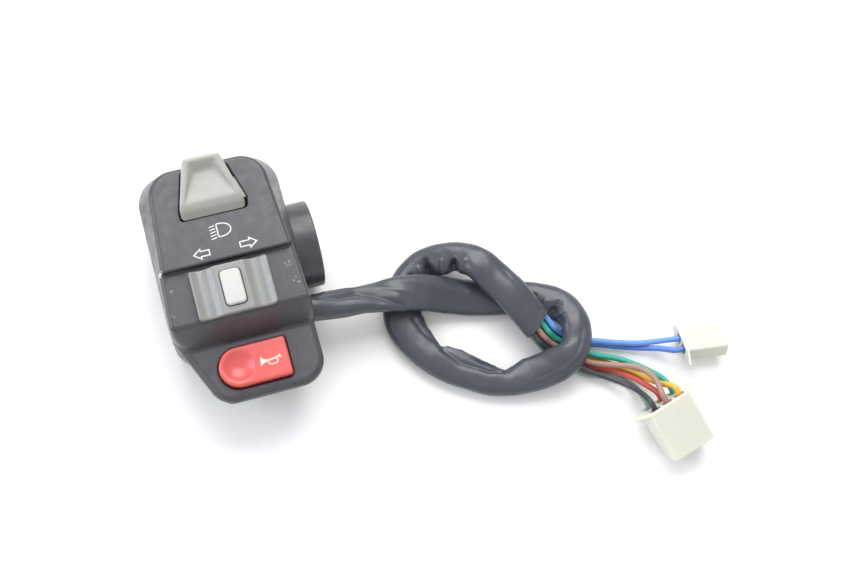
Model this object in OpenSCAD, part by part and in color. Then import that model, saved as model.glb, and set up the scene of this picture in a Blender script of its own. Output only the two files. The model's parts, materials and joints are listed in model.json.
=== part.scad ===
// Handlebar switch cluster for the left grip: beam rocker, turn slider with a push
// to cancel, horn button, and a knotted harness that ends in two connectors.
// The handlebar runs along X, the switch faces +Z, and the rocker lies towards +Y.

/* [Handlebar clamp] */
// Diameter of the handlebar that the two halves close on
bar_d = 22.2; // [20:0.1:23.6]
// Wall of the round collar on the lever side
collar_wall = 2.6; // [1.6:0.1:5]
// How far the collar stands out from the housing's side
collar_len = 7.2; // [3:0.2:20]
// Radius of the clamp screws
clamp_screw_r = 2; // [1.5:0.1:2.4]
// Distance of each clamp screw from the handlebar's axis
clamp_screw_y = 18; // [17:0.1:19]

/* [Housing] */
// Width of the housing along the handlebar
body_w = 43; // [42:0.2:60]
// How far the housing's middle sits to the collar side of the switches
body_off = 0.3; // [-1:0.1:1]
// Reach of the housing above the handlebar's axis
body_up = 27.8; // [27.6:0.1:36]
// Reach of the main body below the handlebar's axis
body_down = 28; // [27.6:0.1:29]
// Height at which the sides start to slope in to the face
shoulder_z = 15; // [8:0.5:19]
// Height of the face panel over the handlebar's axis
panel_z = 24.5; // [24:0.1:30]
// How far the top edge of the panel is set in from the top of the housing
panel_set_in = 2.8; // [1.5:0.1:3]
// How far each side of the panel draws in at its top
panel_taper = 4.6; // [2:0.1:4.8]
// Corner radius at the top of the housing
top_corner_r = 10; // [3:0.5:12]
// Depth of the rear half behind the handlebar's axis
rear_z = 14.5; // [14:0.1:20]
// Radius of the rounded edge at the back of the rear half
rear_edge_r = 6.5; // [3:0.1:7]
// Wall of both halves
wall = 2.2; // [1.6:0.1:2.4]

/* [Slider band] */
// Lower edge of the panel, where the step down to the band is
panel_low = -5.3; // [-6:0.1:-4.5]
// Drop from the panel to the band
band_drop = 2.6; // [1.5:0.1:2.8]
// Lower edge of the band
band_low = -22.1; // [-23:0.1:-21.8]
// Middle of the slider above the handlebar's axis
turn_y = -14.35; // [-14.6:0.05:-14.1]
// Width of the slider cap
slider_w = 23.4; // [22.8:0.1:25]
// Height of the slider cap along the face
slider_h = 15.2; // [12.8:0.1:15.4]
// Thickness of the slider cap
slider_t = 2.5; // [2:0.1:4]
// Travel of the slider to each side
slider_travel = 3; // [1:0.1:3]
// Width of the cancel button
cancel_w = 6.1; // [5.4:0.1:7]
// Height of the cancel button along the face
cancel_h = 10.8; // [8:0.1:11.4]
// How far the cancel button stands out of the slider
cancel_out = 1.2; // [0.8:0.1:2]
// Travel of the cancel button
cancel_travel = 1; // [0.5:0.1:1]

/* [Beam rocker] */
// Middle of the rocker above the handlebar's axis
rocker_y = 16.5; // [16.4:0.05:16.6]
// Half width of the rocker at its ridge
rocker_half = 9.6; // [9:0.1:9.8]
// Half width of the rocker at its raised end
rocker_tip_half = 5.5; // [4.5:0.1:6]
// Height of the raised end over the panel
rocker_rise = 7.1; // [5:0.1:9]
// Radius of the rocker's stub pins
pin_r = 1.2; // [0.8:0.05:1.4]
// Angle between the rocker's two positions
rocker_throw = 14; // [6:1:14]

/* [Horn] */
// Height of the horn pod's face over the handlebar's axis
pod_z = 12.25; // [12:0.05:14]
// Reach of the horn pod below the handlebar's axis
pod_down = 45.5; // [45:0.1:50]
// Depth of the pod's tray behind the handlebar's axis
pod_back = 5.5; // [5:0.1:9]
// Space between the foot of the slope and the horn button
horn_from_slope = 2.2; // [2:0.1:3]
// Space between the horn button and the pod's lower end
horn_from_end = 3.8; // [3.6:0.1:5]
// Space between the horn button and the housing's left side
horn_from_left = 11.4; // [11:0.1:13]
// Space between the horn button and the pod's right side
horn_from_right = 10.2; // [10:0.1:12]
// How far the horn button stands out of the pod
horn_out = 2.6; // [2.2:0.1:4]
// Travel of the horn button
horn_travel = 2; // [1:0.1:2]

/* [Harness] */
// Width of the flattened sleeve
sleeve_w = 11; // [9:0.1:11.4]
// Thickness of the flattened sleeve
sleeve_t = 7; // [5:0.1:7]
// Diameter of the sleeve where it leaves the housing
sleeve_neck_d = 8.6; // [6:0.1:9]
// Diameter of each wire
wire_d = 1.9; // [1.2:0.1:2]

/* [Connectors] */
// Pitch of the terminals across a connector
terminal_pitch = 4.6; // [4.2:0.1:5]
// Pitch of the two rows of the six-way connector
row_pitch = 5.2; // [4.6:0.1:6]
// Width of the cavity for one terminal
cavity_w = 3.4; // [2.6:0.1:3.6]
// Wall around the terminal cavities
connector_wall = 1.2; // [0.8:0.1:2]
// Length of the two-way connector from its flange to its mating face
two_way_len = 14.4; // [13:0.1:15]
// Length of the six-way connector from its flange to its mating face
six_way_len = 17.4; // [15:0.1:17.8]
// How far the flange stands out at its two ends
flange_out = 4; // [2:0.1:4.4]
// Thickness of the flange
flange_t = 1; // [0.8:0.1:2]

/* [Hidden] */

// Clearances
run_gap = 0.05;      // shaft in its bearing
press_gap = 0.02;    // screw, pin or stud in the hole that grips it
slide_gap = 0.2;     // pieces that slide or tilt past each other
button_gap = 0.4;    // button in the opening it travels through
touch_gap = 0.12;    // contact over the terminal that it meets
board_gap = 0.3;     // contact board beside the wall round it
eps = 0.5;           // overlap that joins the shapes of one solid

// Heights and edges of the housing
bar_r = bar_d / 2;
body_x0 = body_off - body_w / 2;
body_x1 = body_off + body_w / 2;
collar_r = bar_r + collar_wall;
collar_x1 = body_x1 + collar_len;
band_z = panel_z - band_drop;
floor_z = band_z - wall;
slope_foot = body_down - 0.4;
low_corner_r = 4;
low_left_r = 8;
panel_up = body_up - panel_set_in;

// Outline of the main body at its foot and at the panel, as corners with their radii
body_corners = [
    [body_x1, -body_down, low_corner_r], [body_x1, body_up, top_corner_r],
    [body_x0, body_up, top_corner_r], [body_x0, -body_down, low_left_r]
];
panel_corner_r = 7;
panel_corners = [
    [body_x1 - 0.2, -body_down, low_corner_r], [body_x1 - panel_taper, panel_up, panel_corner_r],
    [body_x0 + panel_taper, panel_up, panel_corner_r], [body_x0 + 0.2, -body_down, low_left_r]
];

// Outline of the horn pod, whose left side runs in on a slant
pod_top = -23;
pod_slant_in = 9.9;
pod_right = body_x1 - 0.4;
pod_corners = [
    [pod_right, -pod_down, 8], [pod_right, pod_top, 1],
    [body_x0 + 0.2, pod_top, 1], [body_x0 + pod_slant_in, -pod_down, 4.5]
];
pod_edge_r = 2.2;
pod_draft = 1.8;

// Clamp screws
clamp_head_r = 3.8;
clamp_head_t = 2.4;
clamp_seat_z = -7;
clamp_screw_top = 7.5;
boss_wall = 2;
boss_r = clamp_screw_r + boss_wall;
web_half = 5;

// Small screws that hold the boards and the cradle
small_screw_r = 1.1;
small_head_r = 1.9;
small_head_t = 1.4;
small_screw_len = 6;
post_r = 2.2;

// Reach of the turn board and its screws inside the housing's walls
turn_board_half = min(-body_x0, body_x1) - wall - board_gap - 0.4;
turn_screw_x = turn_board_half - 2.3;

// Studs and contacts
stud_r = 0.8;
contact_t = 0.6;

// Beam rocker, about the axis of its stub pins
pivot_z = panel_z - 4;
rocker_low_y = rocker_y - 7.4;
rocker_ridge_y = rocker_y - 5.2;
rocker_tip_y = rocker_y + 8.8;
rocker_body_up = rocker_y + 5.3;
rocker_body_half = 7.4;
rocker_foot_z = pivot_z - 1.7;
rocker_ridge_z = panel_z + 3.7;
rocker_tip_z = panel_z + rocker_rise;
opening_low = rocker_low_y - 0.5;
opening_up = rocker_y + 7.3;
rocker_gap = 0.5;
guide_t = 0.7;
cheek_t = 1.5;
cheek_x0 = rocker_body_half + 0.3;
cheek_x1 = cheek_x0 + cheek_t;
cheek_r = pin_r + 0.5;
plunger_r = 1.5;
plunger_lean = rocker_throw / 2;
plunger_tip = 4.12;
plunger_len = 3;
plunger_bore_top = 2.5;
plunger_boss_low = 3;
see_saw_lean = 5;
see_saw_half = 5.5;
fulcrum_r = 0.3;
fulcrum_half = 1.1;
see_saw_z = pivot_z - plunger_tip - contact_t - touch_gap;
cradle_top = see_saw_z - 1.05;
cradle_t = 1.6;
cradle_screw_x = turn_screw_x - 0.8;
beam_stud_y = 5;

// Turn slider
slider_z0 = band_z + 0.3;
slider_z1 = slider_z0 + slider_t;
leg_x0 = cancel_w / 2 + 0.95;
leg_t = 1.1;
leg_half_y = 3.4;
slot_half_x = leg_x0 + leg_t + slider_travel + slide_gap;
slot_half_y = leg_half_y + slide_gap;
groove_r = 4.2;
groove_depth = 1.4;
plateau_half = 4.9;
cancel_z1 = slider_z1 + cancel_out;
cancel_z0 = slider_z0 + cancel_travel + 0.1;
cancel_stem_r = 1.5;
cancel_snap_r = 2.1;
carriage_z1 = floor_z - slide_gap;
carriage_t = 3;
carriage_z0 = carriage_z1 - carriage_t;
carriage_half = turn_screw_x - post_r - slider_travel - 0.5;
carriage_low = 5.2;
carriage_up = 6.7;
turn_contact_z1 = carriage_z0 - 0.8;
contact_spring_x = 6;
contact_spring_r = 1.2;
contact_pocket = 1.5;
dimple_r = 0.8;
dimple_y = 3.4;
turn_stud_z = turn_contact_z1 - contact_t - dimple_r + 0.2 - touch_gap;
turn_board_top = turn_stud_z - 0.5;
turn_board_t = 1.8;
detent_y = 5.2;
detent_r = 1.1;
detent_depth = 2.4;

// Horn button
horn_left = body_x0 + horn_from_left;
horn_right = pod_right - horn_from_right;
horn_h = pod_down - horn_from_end - slope_foot - horn_from_slope;
horn_y = -slope_foot - horn_from_slope - horn_h / 2;
horn_z1 = pod_z + horn_out;
horn_flange_out = 0.9;
horn_flange_z1 = pod_z - wall - slide_gap;
horn_flange_t = 1.2;
horn_flange_z0 = horn_flange_z1 - horn_flange_t;
horn_spring_x = horn_left + horn_h / 2;
horn_spring_r = 2.9;
horn_boss_r = 2.2;
horn_boss_low = 1.9;
dish_r = 4.1;
dish_depth = 1.1;
horn_contact_x = horn_right - 3.8;
horn_contact_z0 = horn_flange_z0 - contact_t;
horn_stud_z = horn_contact_z0 - horn_travel - touch_gap;
horn_board_top = horn_stud_z - 1.9;
horn_board_t = 1.8;
horn_stud_y = 2.4;
horn_screw_in = 2.2;
horn_board_right = pod_right - wall - pod_draft - board_gap;
horn_board_left = body_x0 + 8.5;
horn_board_low = -pod_down + wall + pod_draft + 2 * board_gap;
horn_board_up = -body_down - board_gap;
horn_board_slant = 5.2;
horn_screws = [
    [horn_board_right - horn_screw_in, horn_y],
    [horn_board_left + 1.7, horn_board_up - 1.8]
];

// Sleeve exit in the lever side of the housing, on the joint between the halves
exit_y = -20.5;
exit_gap = 0.3;
exit_r = sleeve_neck_d / 2 + exit_gap;
relief_x0 = 16.4;
relief_x1 = 18.2;
relief_half_y = 5.2;
relief_top = 6.4;
lead_d = 2.4;

// Harness routes on the surface that the rear half lies on
rest_z = -rear_z;
low = rest_z + sleeve_t / 2 + 0.1;
high = low + sleeve_t + 0.6;
sleeve_start_x = 14;
sleeve_route = [
    [sleeve_start_x, exit_y, 0], [20, exit_y, 0], [24, exit_y, 0], [33, -21.2, -1.4],
    [42, -21.4, high + 0.4], [50, -21.9, high], [58, -22.8, -5.6], [68, -25.3, -9.4], [77, -28, low],
    [86, -30.4, low], [95, -33.6, low + 0.9], [101.2, -38.4, -7.4], [103.4, -44.6, -5.4],
    [102.3, -51, -5], [98.5, -55.5, -5.2], [91, -57.8, -7.8], [81.5, -57.8, low + 0.8],
    [73.5, -55.5, low], [66.4, -51.2, low], [59.6, -46.2, low], [54.6, -40.5, low],
    [51.4, -34.2, low], [50.6, -27.4, low], [53.2, -20.4, low], [57.6, -15.2, low],
    [63, -12.7, -9.8], [68.8, -13, -7.6], [74.2, -15.2, -5.2], [78.4, -19, high + 0.2],
    [82.2, -24.6, high], [85.8, -30.6, high], [89, -36.8, -4.6], [90.7, -40, -5.7], [92.4, -43.2, -6.8]
];
sleeve_neck_points = 4;
sleeve_sides = 10;
sleeve_steps = 2;
wire_sides = 8;
wire_steps = 2;

// Where the wires leave the sleeve, and how they lie side by side
sleeve_end = sleeve_route[len(sleeve_route) - 1];
sleeve_end_dir = unit(sleeve_end - sleeve_route[len(sleeve_route) - 2]);
sleeve_end_side = unit(cross(sleeve_end_dir, [0, 0, 1]));
sleeve_end_up = cross(sleeve_end_side, sleeve_end_dir);
wire_straight = 3;
end_gap = 0.25;
under = rest_z + 1.25;
over = rest_z + 3.4;

// Connectors: roll, slope down to the mating end, and heading
two_way_turn = [-28, 0, -7.4];
six_way_turn = [6, 16, -72.5];
cavity_h = cavity_w - 0.4;
wire_depth = 2.5;
terminal_len = 9;
terminal_w = cavity_w - 0.8;
terminal_h = 1.4;

// Wire colours, rows and routes: [node, colour, side, up, points, connector, column, row]
wires = [
    ["wire_blue_upper", "royalblue", -1.5, 0.5,
        [[99, -46.2, -9], [104, -49.4, over], [111.4, -52.2, -10.7], [117.8, -54.4, -10.7],
            [124.2, -56.2, -10.7]], "two", 0.5, 0],
    ["wire_blue_lower", "mediumblue", -1.5, -0.5,
        [[98.9, -46.8, -11.5], [104, -50.2, under], [111.6, -53, -12.8], [118, -55.4, -12.8],
            [124.4, -57.6, -12.4], [129.6, -59.4, -10.9]], "two", -0.5, 0],
    ["wire_teal", "lightseagreen", -0.5, 0.5,
        [[97.2, -47.8, -9], [102.6, -51.7, over], [108.6, -56, over], [115, -59, -11],
            [119.6, -62.2, -10.2], [122.8, -65.2, -9], [125.8, -69, -6.8]], "six", 1, -0.5],
    ["wire_yellow", "gold", -0.5, -0.5,
        [[97.2, -48.2, -11.4], [102.4, -52.6, under], [108.6, -57, under], [114.6, -61, -12.8],
            [119.6, -64.8, -11.6], [122.6, -68.8, -8.4], [125, -71.8, -4.2]], "six", 1, 0.5],
    ["wire_brown", "rosybrown", 0.5, 0.5,
        [[95.4, -49.2, -9], [101.2, -53.8, over], [106.4, -58.2, -10.8], [113.4, -61.2, -9.6],
            [118.6, -63.4, -7.8], [121.6, -66.4, -5.4], [122.8, -70.4, -2.6]], "six", 0, 0.5],
    ["wire_red", "indianred", 0.5, -0.5,
        [[95.4, -49.6, -11.4], [100.8, -54.8, under], [106.2, -59.2, under], [112, -61.8, -12.6],
            [117.8, -66.1, -10.6], [120.2, -69.2, -8.8]], "six", 0, -0.5],
    ["wire_black", "dimgray", 1.5, 0.5,
        [[93.6, -50.6, -9], [99.4, -56, over], [105, -60.8, over], [110.6, -64.5, -11],
            [115.2, -68.7, -8.6], [117.2, -72.2, -5.2]], "six", -1, 0.5],
    ["wire_green", "darkseagreen", 1.5, -0.5,
        [[93.6, -51, -11.4], [99, -56.8, under], [104.8, -61.4, under], [111.4, -63.8, -13.2],
            [116.2, -66.9, -13], [118.4, -70.6, -10.8]], "six", -1, -0.5]
];

// Columns and rows of terminals in each connector
two_columns = [-0.5, 0.5];
two_rows = [0];
six_columns = [-1, 0, 1];
six_rows = [-0.5, 0.5];

// Half sizes of a connector, and its place with its mating end down on the table
function half_width(columns) = columns[len(columns) - 1] * terminal_pitch + cavity_w / 2 + connector_wall;
function half_height(rows) = rows[len(rows) - 1] * row_pitch + cavity_h / 2 + connector_wall;
function on_table(x, y, turn, length, columns, rows) =
    let (below = half_width(columns) * abs(sin(turn.x)) + half_height(rows) * cos(turn.x))
    [x, y, rest_z + 0.05 + length * sin(turn.y) + below * cos(turn.y)];
two_way_place = on_table(137.1, -60.1, two_way_turn, two_way_len, two_columns, two_rows);
six_way_place = on_table(123.5, -77.2, six_way_turn, six_way_len, six_columns, six_rows);

// Unit vector along v
function unit(v) = v / norm(v);

// Half width of the rocker at height y up the face
function rocker_side(y) = rocker_half
    - (rocker_half - rocker_tip_half) * (y - rocker_ridge_y) / (rocker_tip_y - rocker_ridge_y);

// Points of one rounded corner at p, between its neighbours before and after
function corner_arc(before, p, after, r, n) =
    let (a = unit(before - p), b = unit(after - p), half = acos(a * b) / 2,
        c = p + unit(a + b) * r / sin(half), s = p + a * r / tan(half), e = p + b * r / tan(half),
        a0 = atan2(s.y - c.y, s.x - c.x), turn = (atan2(e.y - c.y, e.x - c.x) - a0 + 540) % 360 - 180)
    [for (i = [0:n]) c + r * [cos(a0 + turn * i / n), sin(a0 + turn * i / n)]];

function flat(c) = [c.x, c.y];

// Outline through corners [x, y, radius], listed anticlockwise
function rounded(corners, n = 5) =
    let (m = len(corners))
    [for (i = [0:m - 1]) each corner_arc(flat(corners[(i + m - 1) % m]), flat(corners[i]),
        flat(corners[(i + 1) % m]), corners[i][2], n)];

// The same corners moved in by d, with their radii drawn in as well
function inset(corners, d, least_r = 0.4) =
    let (m = len(corners))
    [for (i = [0:m - 1])
        let (p = flat(corners[i]), a = unit(flat(corners[(i + m - 1) % m]) - p),
            b = unit(flat(corners[(i + 1) % m]) - p), q = p + unit(a + b) * d / sin(acos(a * b) / 2))
        [q.x, q.y, max(corners[i][2] - d, least_r)]];

// Corners part of the way from one outline to another
function between(a, b, s) = [for (i = [0:len(a) - 1]) a[i] + (b[i] - a[i]) * s];

// Corners of a rectangle
function rect_corners(x0, y0, x1, y1, r) = [[x1, y0, r], [x1, y1, r], [x0, y1, r], [x0, y0, r]];

// Heights and insets of a rounded edge of radius r that ends at height z, going up or down
function edge_steps(z, r, dir, n = 4) =
    [for (i = [0:n]) [z - dir * r * (1 - sin(90 * i / n)), r * (1 - cos(90 * i / n))]];

// Faces of a skin over m rings of n points
function skin_faces(m, n) = concat(
    [[for (i = [0:n - 1]) i]],
    [for (k = [0:m - 2]) for (i = [0:n - 1])
        each [[k * n + i, (k + 1) * n + i, (k + 1) * n + (i + 1) % n],
            [k * n + i, (k + 1) * n + (i + 1) % n, k * n + (i + 1) % n]]],
    [[for (i = [n - 1:-1:0]) (m - 1) * n + i]]);

// Solid through outlines at rising heights, given as [height, points]
module loft(sections) {
    points = [for (s = sections) for (p = s[1]) [p.x, p.y, s[0]]];
    polyhedron(points, skin_faces(len(sections), len(sections[0][1])));
}

// Smooth curve through points
function spline_point(a, b, c, d, t) =
    0.5 * (2 * b + (c - a) * t + (2 * a - 5 * b + 4 * c - d) * t * t + (3 * b - a - 3 * c + d) * t * t * t);
function spline(p, steps) = concat(
    [for (i = [0:len(p) - 2]) for (k = [0:steps - 1])
        spline_point(p[max(i - 1, 0)], p[i], p[i + 1], p[min(i + 2, len(p) - 1)], k / steps)],
    [p[len(p) - 1]]);

// Ring of points round c, square to direction t
function ring(c, t, w, h, n) =
    let (s = unit(cross(t, [0, 0, 1])), u = cross(s, t))
    [for (k = [0:n - 1]) c + s * w / 2 * cos(360 * k / n) - u * h / 2 * sin(360 * k / n)];

// Tube along a path, with a width and a thickness for each of its points
module tube(path, widths, heights, n) {
    last = len(path) - 1;
    rings = [for (i = [0:last])
        ring(path[i], unit(path[min(i + 1, last)] - path[max(i - 1, 0)]), widths[i], heights[i], n)];
    polyhedron([for (r = rings) each r], skin_faces(len(path), n));
}

function same(value, count) = [for (i = [1:count]) value];

// Compression spring from height z0 to z1, which prints its gap from turn to turn
spring_rings = 8;
spring_sides = 6;
module coil_spring(r, wire, z0, z1, turns) {
    count = round(turns * spring_rings);
    rise = (z1 - z0 - wire) / count;
    path = [for (i = [0:count])
        [r * cos(360 * i / spring_rings), r * sin(360 * i / spring_rings), z0 + wire / 2 + rise * i]];
    echo(spring_least_gap = rise * spring_rings - wire);
    tube(path, same(wire, count + 1), same(wire, count + 1), spring_sides);
}

// Outline in Y and Z drawn out along X
module along_x(x0, x1) {
    translate([x0, 0, 0]) rotate([90, 0, 90]) linear_extrude(x1 - x0) children();
}

module rod_x(x0, x1, r) {
    translate([x0, 0, 0]) rotate([0, 90, 0]) cylinder(h = x1 - x0, r = r, $fn = 64);
}

module post(r, z0, z1) {
    translate([0, 0, z0]) cylinder(h = z1 - z0, r = r, $fn = 40);
}

module block(x0, x1, y0, y1, z0, z1) {
    translate([x0, y0, z0]) cube([x1 - x0, y1 - y0, z1 - z0]);
}

module plate(corners, z0, z1) {
    translate([0, 0, z0]) linear_extrude(z1 - z0) polygon(rounded(corners));
}

// Screw with its head under height z and its shank above it, with a cross recess
module screw(head_r, head_t, shank_r, z, top) {
    difference() {
        union() {
            post(head_r, z - head_t, z);
            post(shank_r, z - head_t / 2, top);
        }
        for (turn = [0, 90])
            rotate([0, 0, turn])
                block(-head_r * 0.6, head_r * 0.6, -head_r * 0.13, head_r * 0.13,
                    z - head_t - 1, z - head_t * 0.55);
    }
}

// Stud with a head that stands on a board from z to top and a tail that hangs below
module stud(head_r, z, top, tail) {
    post(head_r, z, top);
    post(stud_r, tail, top);
}

// Outer and inner form of the front half, drawn in by d
module front_form(d) {
    top = panel_z - d;
    slope_share = (top - shoulder_z) / (panel_z - shoulder_z);
    foot = inset(body_corners, d);
    face = inset(between(body_corners, panel_corners, slope_share), d);
    slope_in = d / sin(atan2(band_z - pod_z, slope_foot + band_low));
    bottom = d > 0 ? -1 : 0;
    intersection() {
        loft([[bottom, rounded(foot)], [shoulder_z, rounded(foot)], [top, rounded(face)]]);
        along_x(body_x0 - 1, body_x1 + 1)
            polygon([[-body_down - 1, bottom - 1], [body_up + 1, bottom - 1], [body_up + 1, top],
                [panel_low + d, top], [panel_low + d, band_z - d], [band_low + slope_in, band_z - d],
                [-slope_foot + slope_in, pod_z], [-body_down - 1, pod_z]]);
    }
}

module pod_form(d) {
    bottom = d > 0 ? -1 : 0;
    steps = concat([[bottom, pod_draft]], edge_steps(pod_z - d, max(pod_edge_r - d, 0.2), 1));
    loft([for (s = steps) [s[0], rounded(inset(pod_corners, s[1] + d))]]);
}

// Outer and inner form of the rear half
module rear_form(d) {
    top = d > 0 ? 1 : 0;
    steps = edge_steps(-rear_z + d, rear_edge_r - d, -1);
    loft([for (i = [len(steps) - 1:-1:0]) [steps[i][0], rounded(inset(body_corners, steps[i][1] + d))],
        [top, rounded(inset(body_corners, d))]]);
}

module tray_form(d) {
    top = d > 0 ? 1 : 0;
    steps = edge_steps(-pod_back + d, max(pod_edge_r - d, 0.2), -1);
    loft([for (i = [len(steps) - 1:-1:0])
        [steps[i][0], rounded(inset(pod_corners, steps[i][1] + pod_draft + 0.6 + d))],
        [top, rounded(inset(pod_corners, pod_draft + d))]]);
}

// Round collar with a chamfered rim
module collar() {
    chamfer = 0.6;
    translate([body_x1 - wall, 0, 0]) rotate([0, 90, 0]) {
        cylinder(h = collar_len + wall - chamfer, r = collar_r, $fn = 96);
        translate([0, 0, collar_len + wall - chamfer])
            cylinder(h = chamfer, r1 = collar_r, r2 = collar_r - chamfer, $fn = 96);
    }
}

module bar_space() {
    rod_x(body_x0 - 1, collar_x1 + 1, bar_r);
}

module at_clamp_screws() {
    for (side = [-1, 1])
        translate([0, side * clamp_screw_y, 0]) children();
}

module exit_space() {
    translate([0, exit_y, 0]) rod_x(relief_x0 - 1, body_x1 + 1, exit_r);
}

// Way through the wall between the main body and the pod, for the horn's lead
module lead_gate() {
    middle = horn_contact_x + 0.7;
    half = lead_d / 2 + 1.1;
    block(middle - half, middle + half, -body_down - 1, -body_down + wall + 1, -wall, wall);
}

// Webs beside the handlebar that carry the clamp screws
module webs(z0, z1) {
    block(-web_half, web_half, bar_r - 2, body_up - wall / 2, z0, z1);
    block(-web_half, web_half, -body_down + wall / 2, -bar_r + 2, z0, z1);
}

module relief_rib(z0, z1) {
    block(relief_x0, relief_x1, -body_down + wall / 2, exit_y + relief_half_y, z0, z1);
}

module rocker_opening() {
    bend_y = rocker_ridge_y + 0.5;
    wide = rocker_half + rocker_gap;
    right = rocker_gap + guide_t + press_gap;
    translate([0, 0, panel_z - wall - 1]) linear_extrude(wall + 2)
        polygon(rounded([[wide, opening_low, 1.5], [rocker_side(bend_y) + right, bend_y, 1.5],
            [rocker_side(opening_up) + right, opening_up, 0.6],
            [-rocker_side(opening_up) - rocker_gap - 0.3, opening_up, 0.6],
            [-rocker_side(bend_y) - rocker_gap, bend_y, 3], [-wide, opening_low, 1.5]]));
}

// Wall of the cradle that shows beside the rocker in the wider side of its opening
module rocker_guide() {
    y0 = rocker_ridge_y + 0.9;
    y1 = rocker_y + 2.6;
    near = rocker_gap;
    far = rocker_gap + guide_t;
    translate([0, 0, cradle_top - eps]) linear_extrude(panel_z - 0.4 - cradle_top)
        polygon([[rocker_side(y0) + near, y0], [rocker_side(y0) + far, y0],
            [rocker_side(y1) + far, y1], [rocker_side(y1) + near, y1]]);
}

horn_corners = rect_corners(horn_left, horn_y - horn_h / 2, horn_right, horn_y + horn_h / 2, 0.8);
horn_outline = [horn_corners[0], horn_corners[1],
    [horn_left, horn_y + horn_h / 2, horn_h / 2 - 0.02], [horn_left, horn_y - horn_h / 2, horn_h / 2 - 0.02]];

module front_housing() {
    color([0.16, 0.16, 0.18])
    difference() {
        union() {
            difference() {
                union() {
                    front_form(0);
                    pod_form(0);
                    intersection() {
                        collar();
                        block(0, collar_x1 + 1, -collar_r - 1, collar_r + 1, 0, collar_r + 1);
                    }
                }
                front_form(wall);
                pod_form(wall);
            }
            webs(0, clamp_screw_top + 1);
            at_clamp_screws() post(boss_r, 0, clamp_screw_top + 1);
            relief_rib(0, relief_top);
            for (side = [-1, 1]) {
                translate([side * cradle_screw_x, rocker_y, 0])
                    post(post_r, cradle_top, panel_z - wall + eps);
                translate([side * turn_screw_x, turn_y, 0]) post(post_r, turn_board_top, floor_z + eps);
            }
            for (p = horn_screws)
                translate(p) post(post_r, horn_board_top, pod_z - wall + eps);
        }
        bar_space();
        exit_space();
        lead_gate();
        at_clamp_screws() post(clamp_screw_r + press_gap, -1, clamp_screw_top + press_gap);
        rocker_opening();
        block(-slot_half_x, slot_half_x, turn_y - slot_half_y, turn_y + slot_half_y, floor_z - 1, band_z + 1);
        translate([0, turn_y + detent_y, carriage_z1])
            rod_x(-slider_travel - detent_r - 0.2, slider_travel + detent_r + 0.2, detent_r + slide_gap);
        plate(inset(horn_outline, -button_gap), pod_z - wall - 1, pod_z + 1);
        for (side = [-1, 1]) {
            translate([side * cradle_screw_x, rocker_y, 0])
                post(small_screw_r + press_gap, cradle_top - 1,
                    cradle_top - cradle_t + small_screw_len + press_gap);
            translate([side * turn_screw_x, turn_y, 0])
                post(small_screw_r + press_gap, turn_board_top - 1,
                    turn_board_top - turn_board_t + small_screw_len + press_gap);
        }
        for (p = horn_screws)
            translate(p)
                post(small_screw_r + press_gap, horn_board_top - 1,
                    horn_board_top - horn_board_t + small_screw_len + press_gap);
    }
}

module rear_housing() {
    color([0.15, 0.15, 0.17])
    difference() {
        union() {
            difference() {
                union() {
                    rear_form(0);
                    tray_form(0);
                    intersection() {
                        collar();
                        block(0, collar_x1 + 1, -collar_r - 1, collar_r + 1, -collar_r - 1, 0);
                    }
                }
                rear_form(wall);
                tray_form(wall);
            }
            intersection() {
                rear_form(wall / 2);
                union() {
                    webs(-rear_z, 0);
                    at_clamp_screws() post(clamp_head_r + boss_wall, -rear_z, 0);
                }
            }
            relief_rib(-relief_top, 0);
        }
        bar_space();
        exit_space();
        lead_gate();
        at_clamp_screws() {
            post(clamp_screw_r + slide_gap, -rear_z - 1, 1);
            post(clamp_head_r + slide_gap, -rear_z - 1, clamp_seat_z);
        }
    }
}

module clamp_screws() {
    color([0.62, 0.63, 0.64])
    at_clamp_screws() screw(clamp_head_r, clamp_head_t, clamp_screw_r, clamp_seat_z, clamp_screw_top);
}

// Place about the rocker's axis, turned by an angle
module about_pivot(angle = 0) {
    translate([0, rocker_y, pivot_z]) rotate([angle, 0, 0]) children();
}

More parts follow.
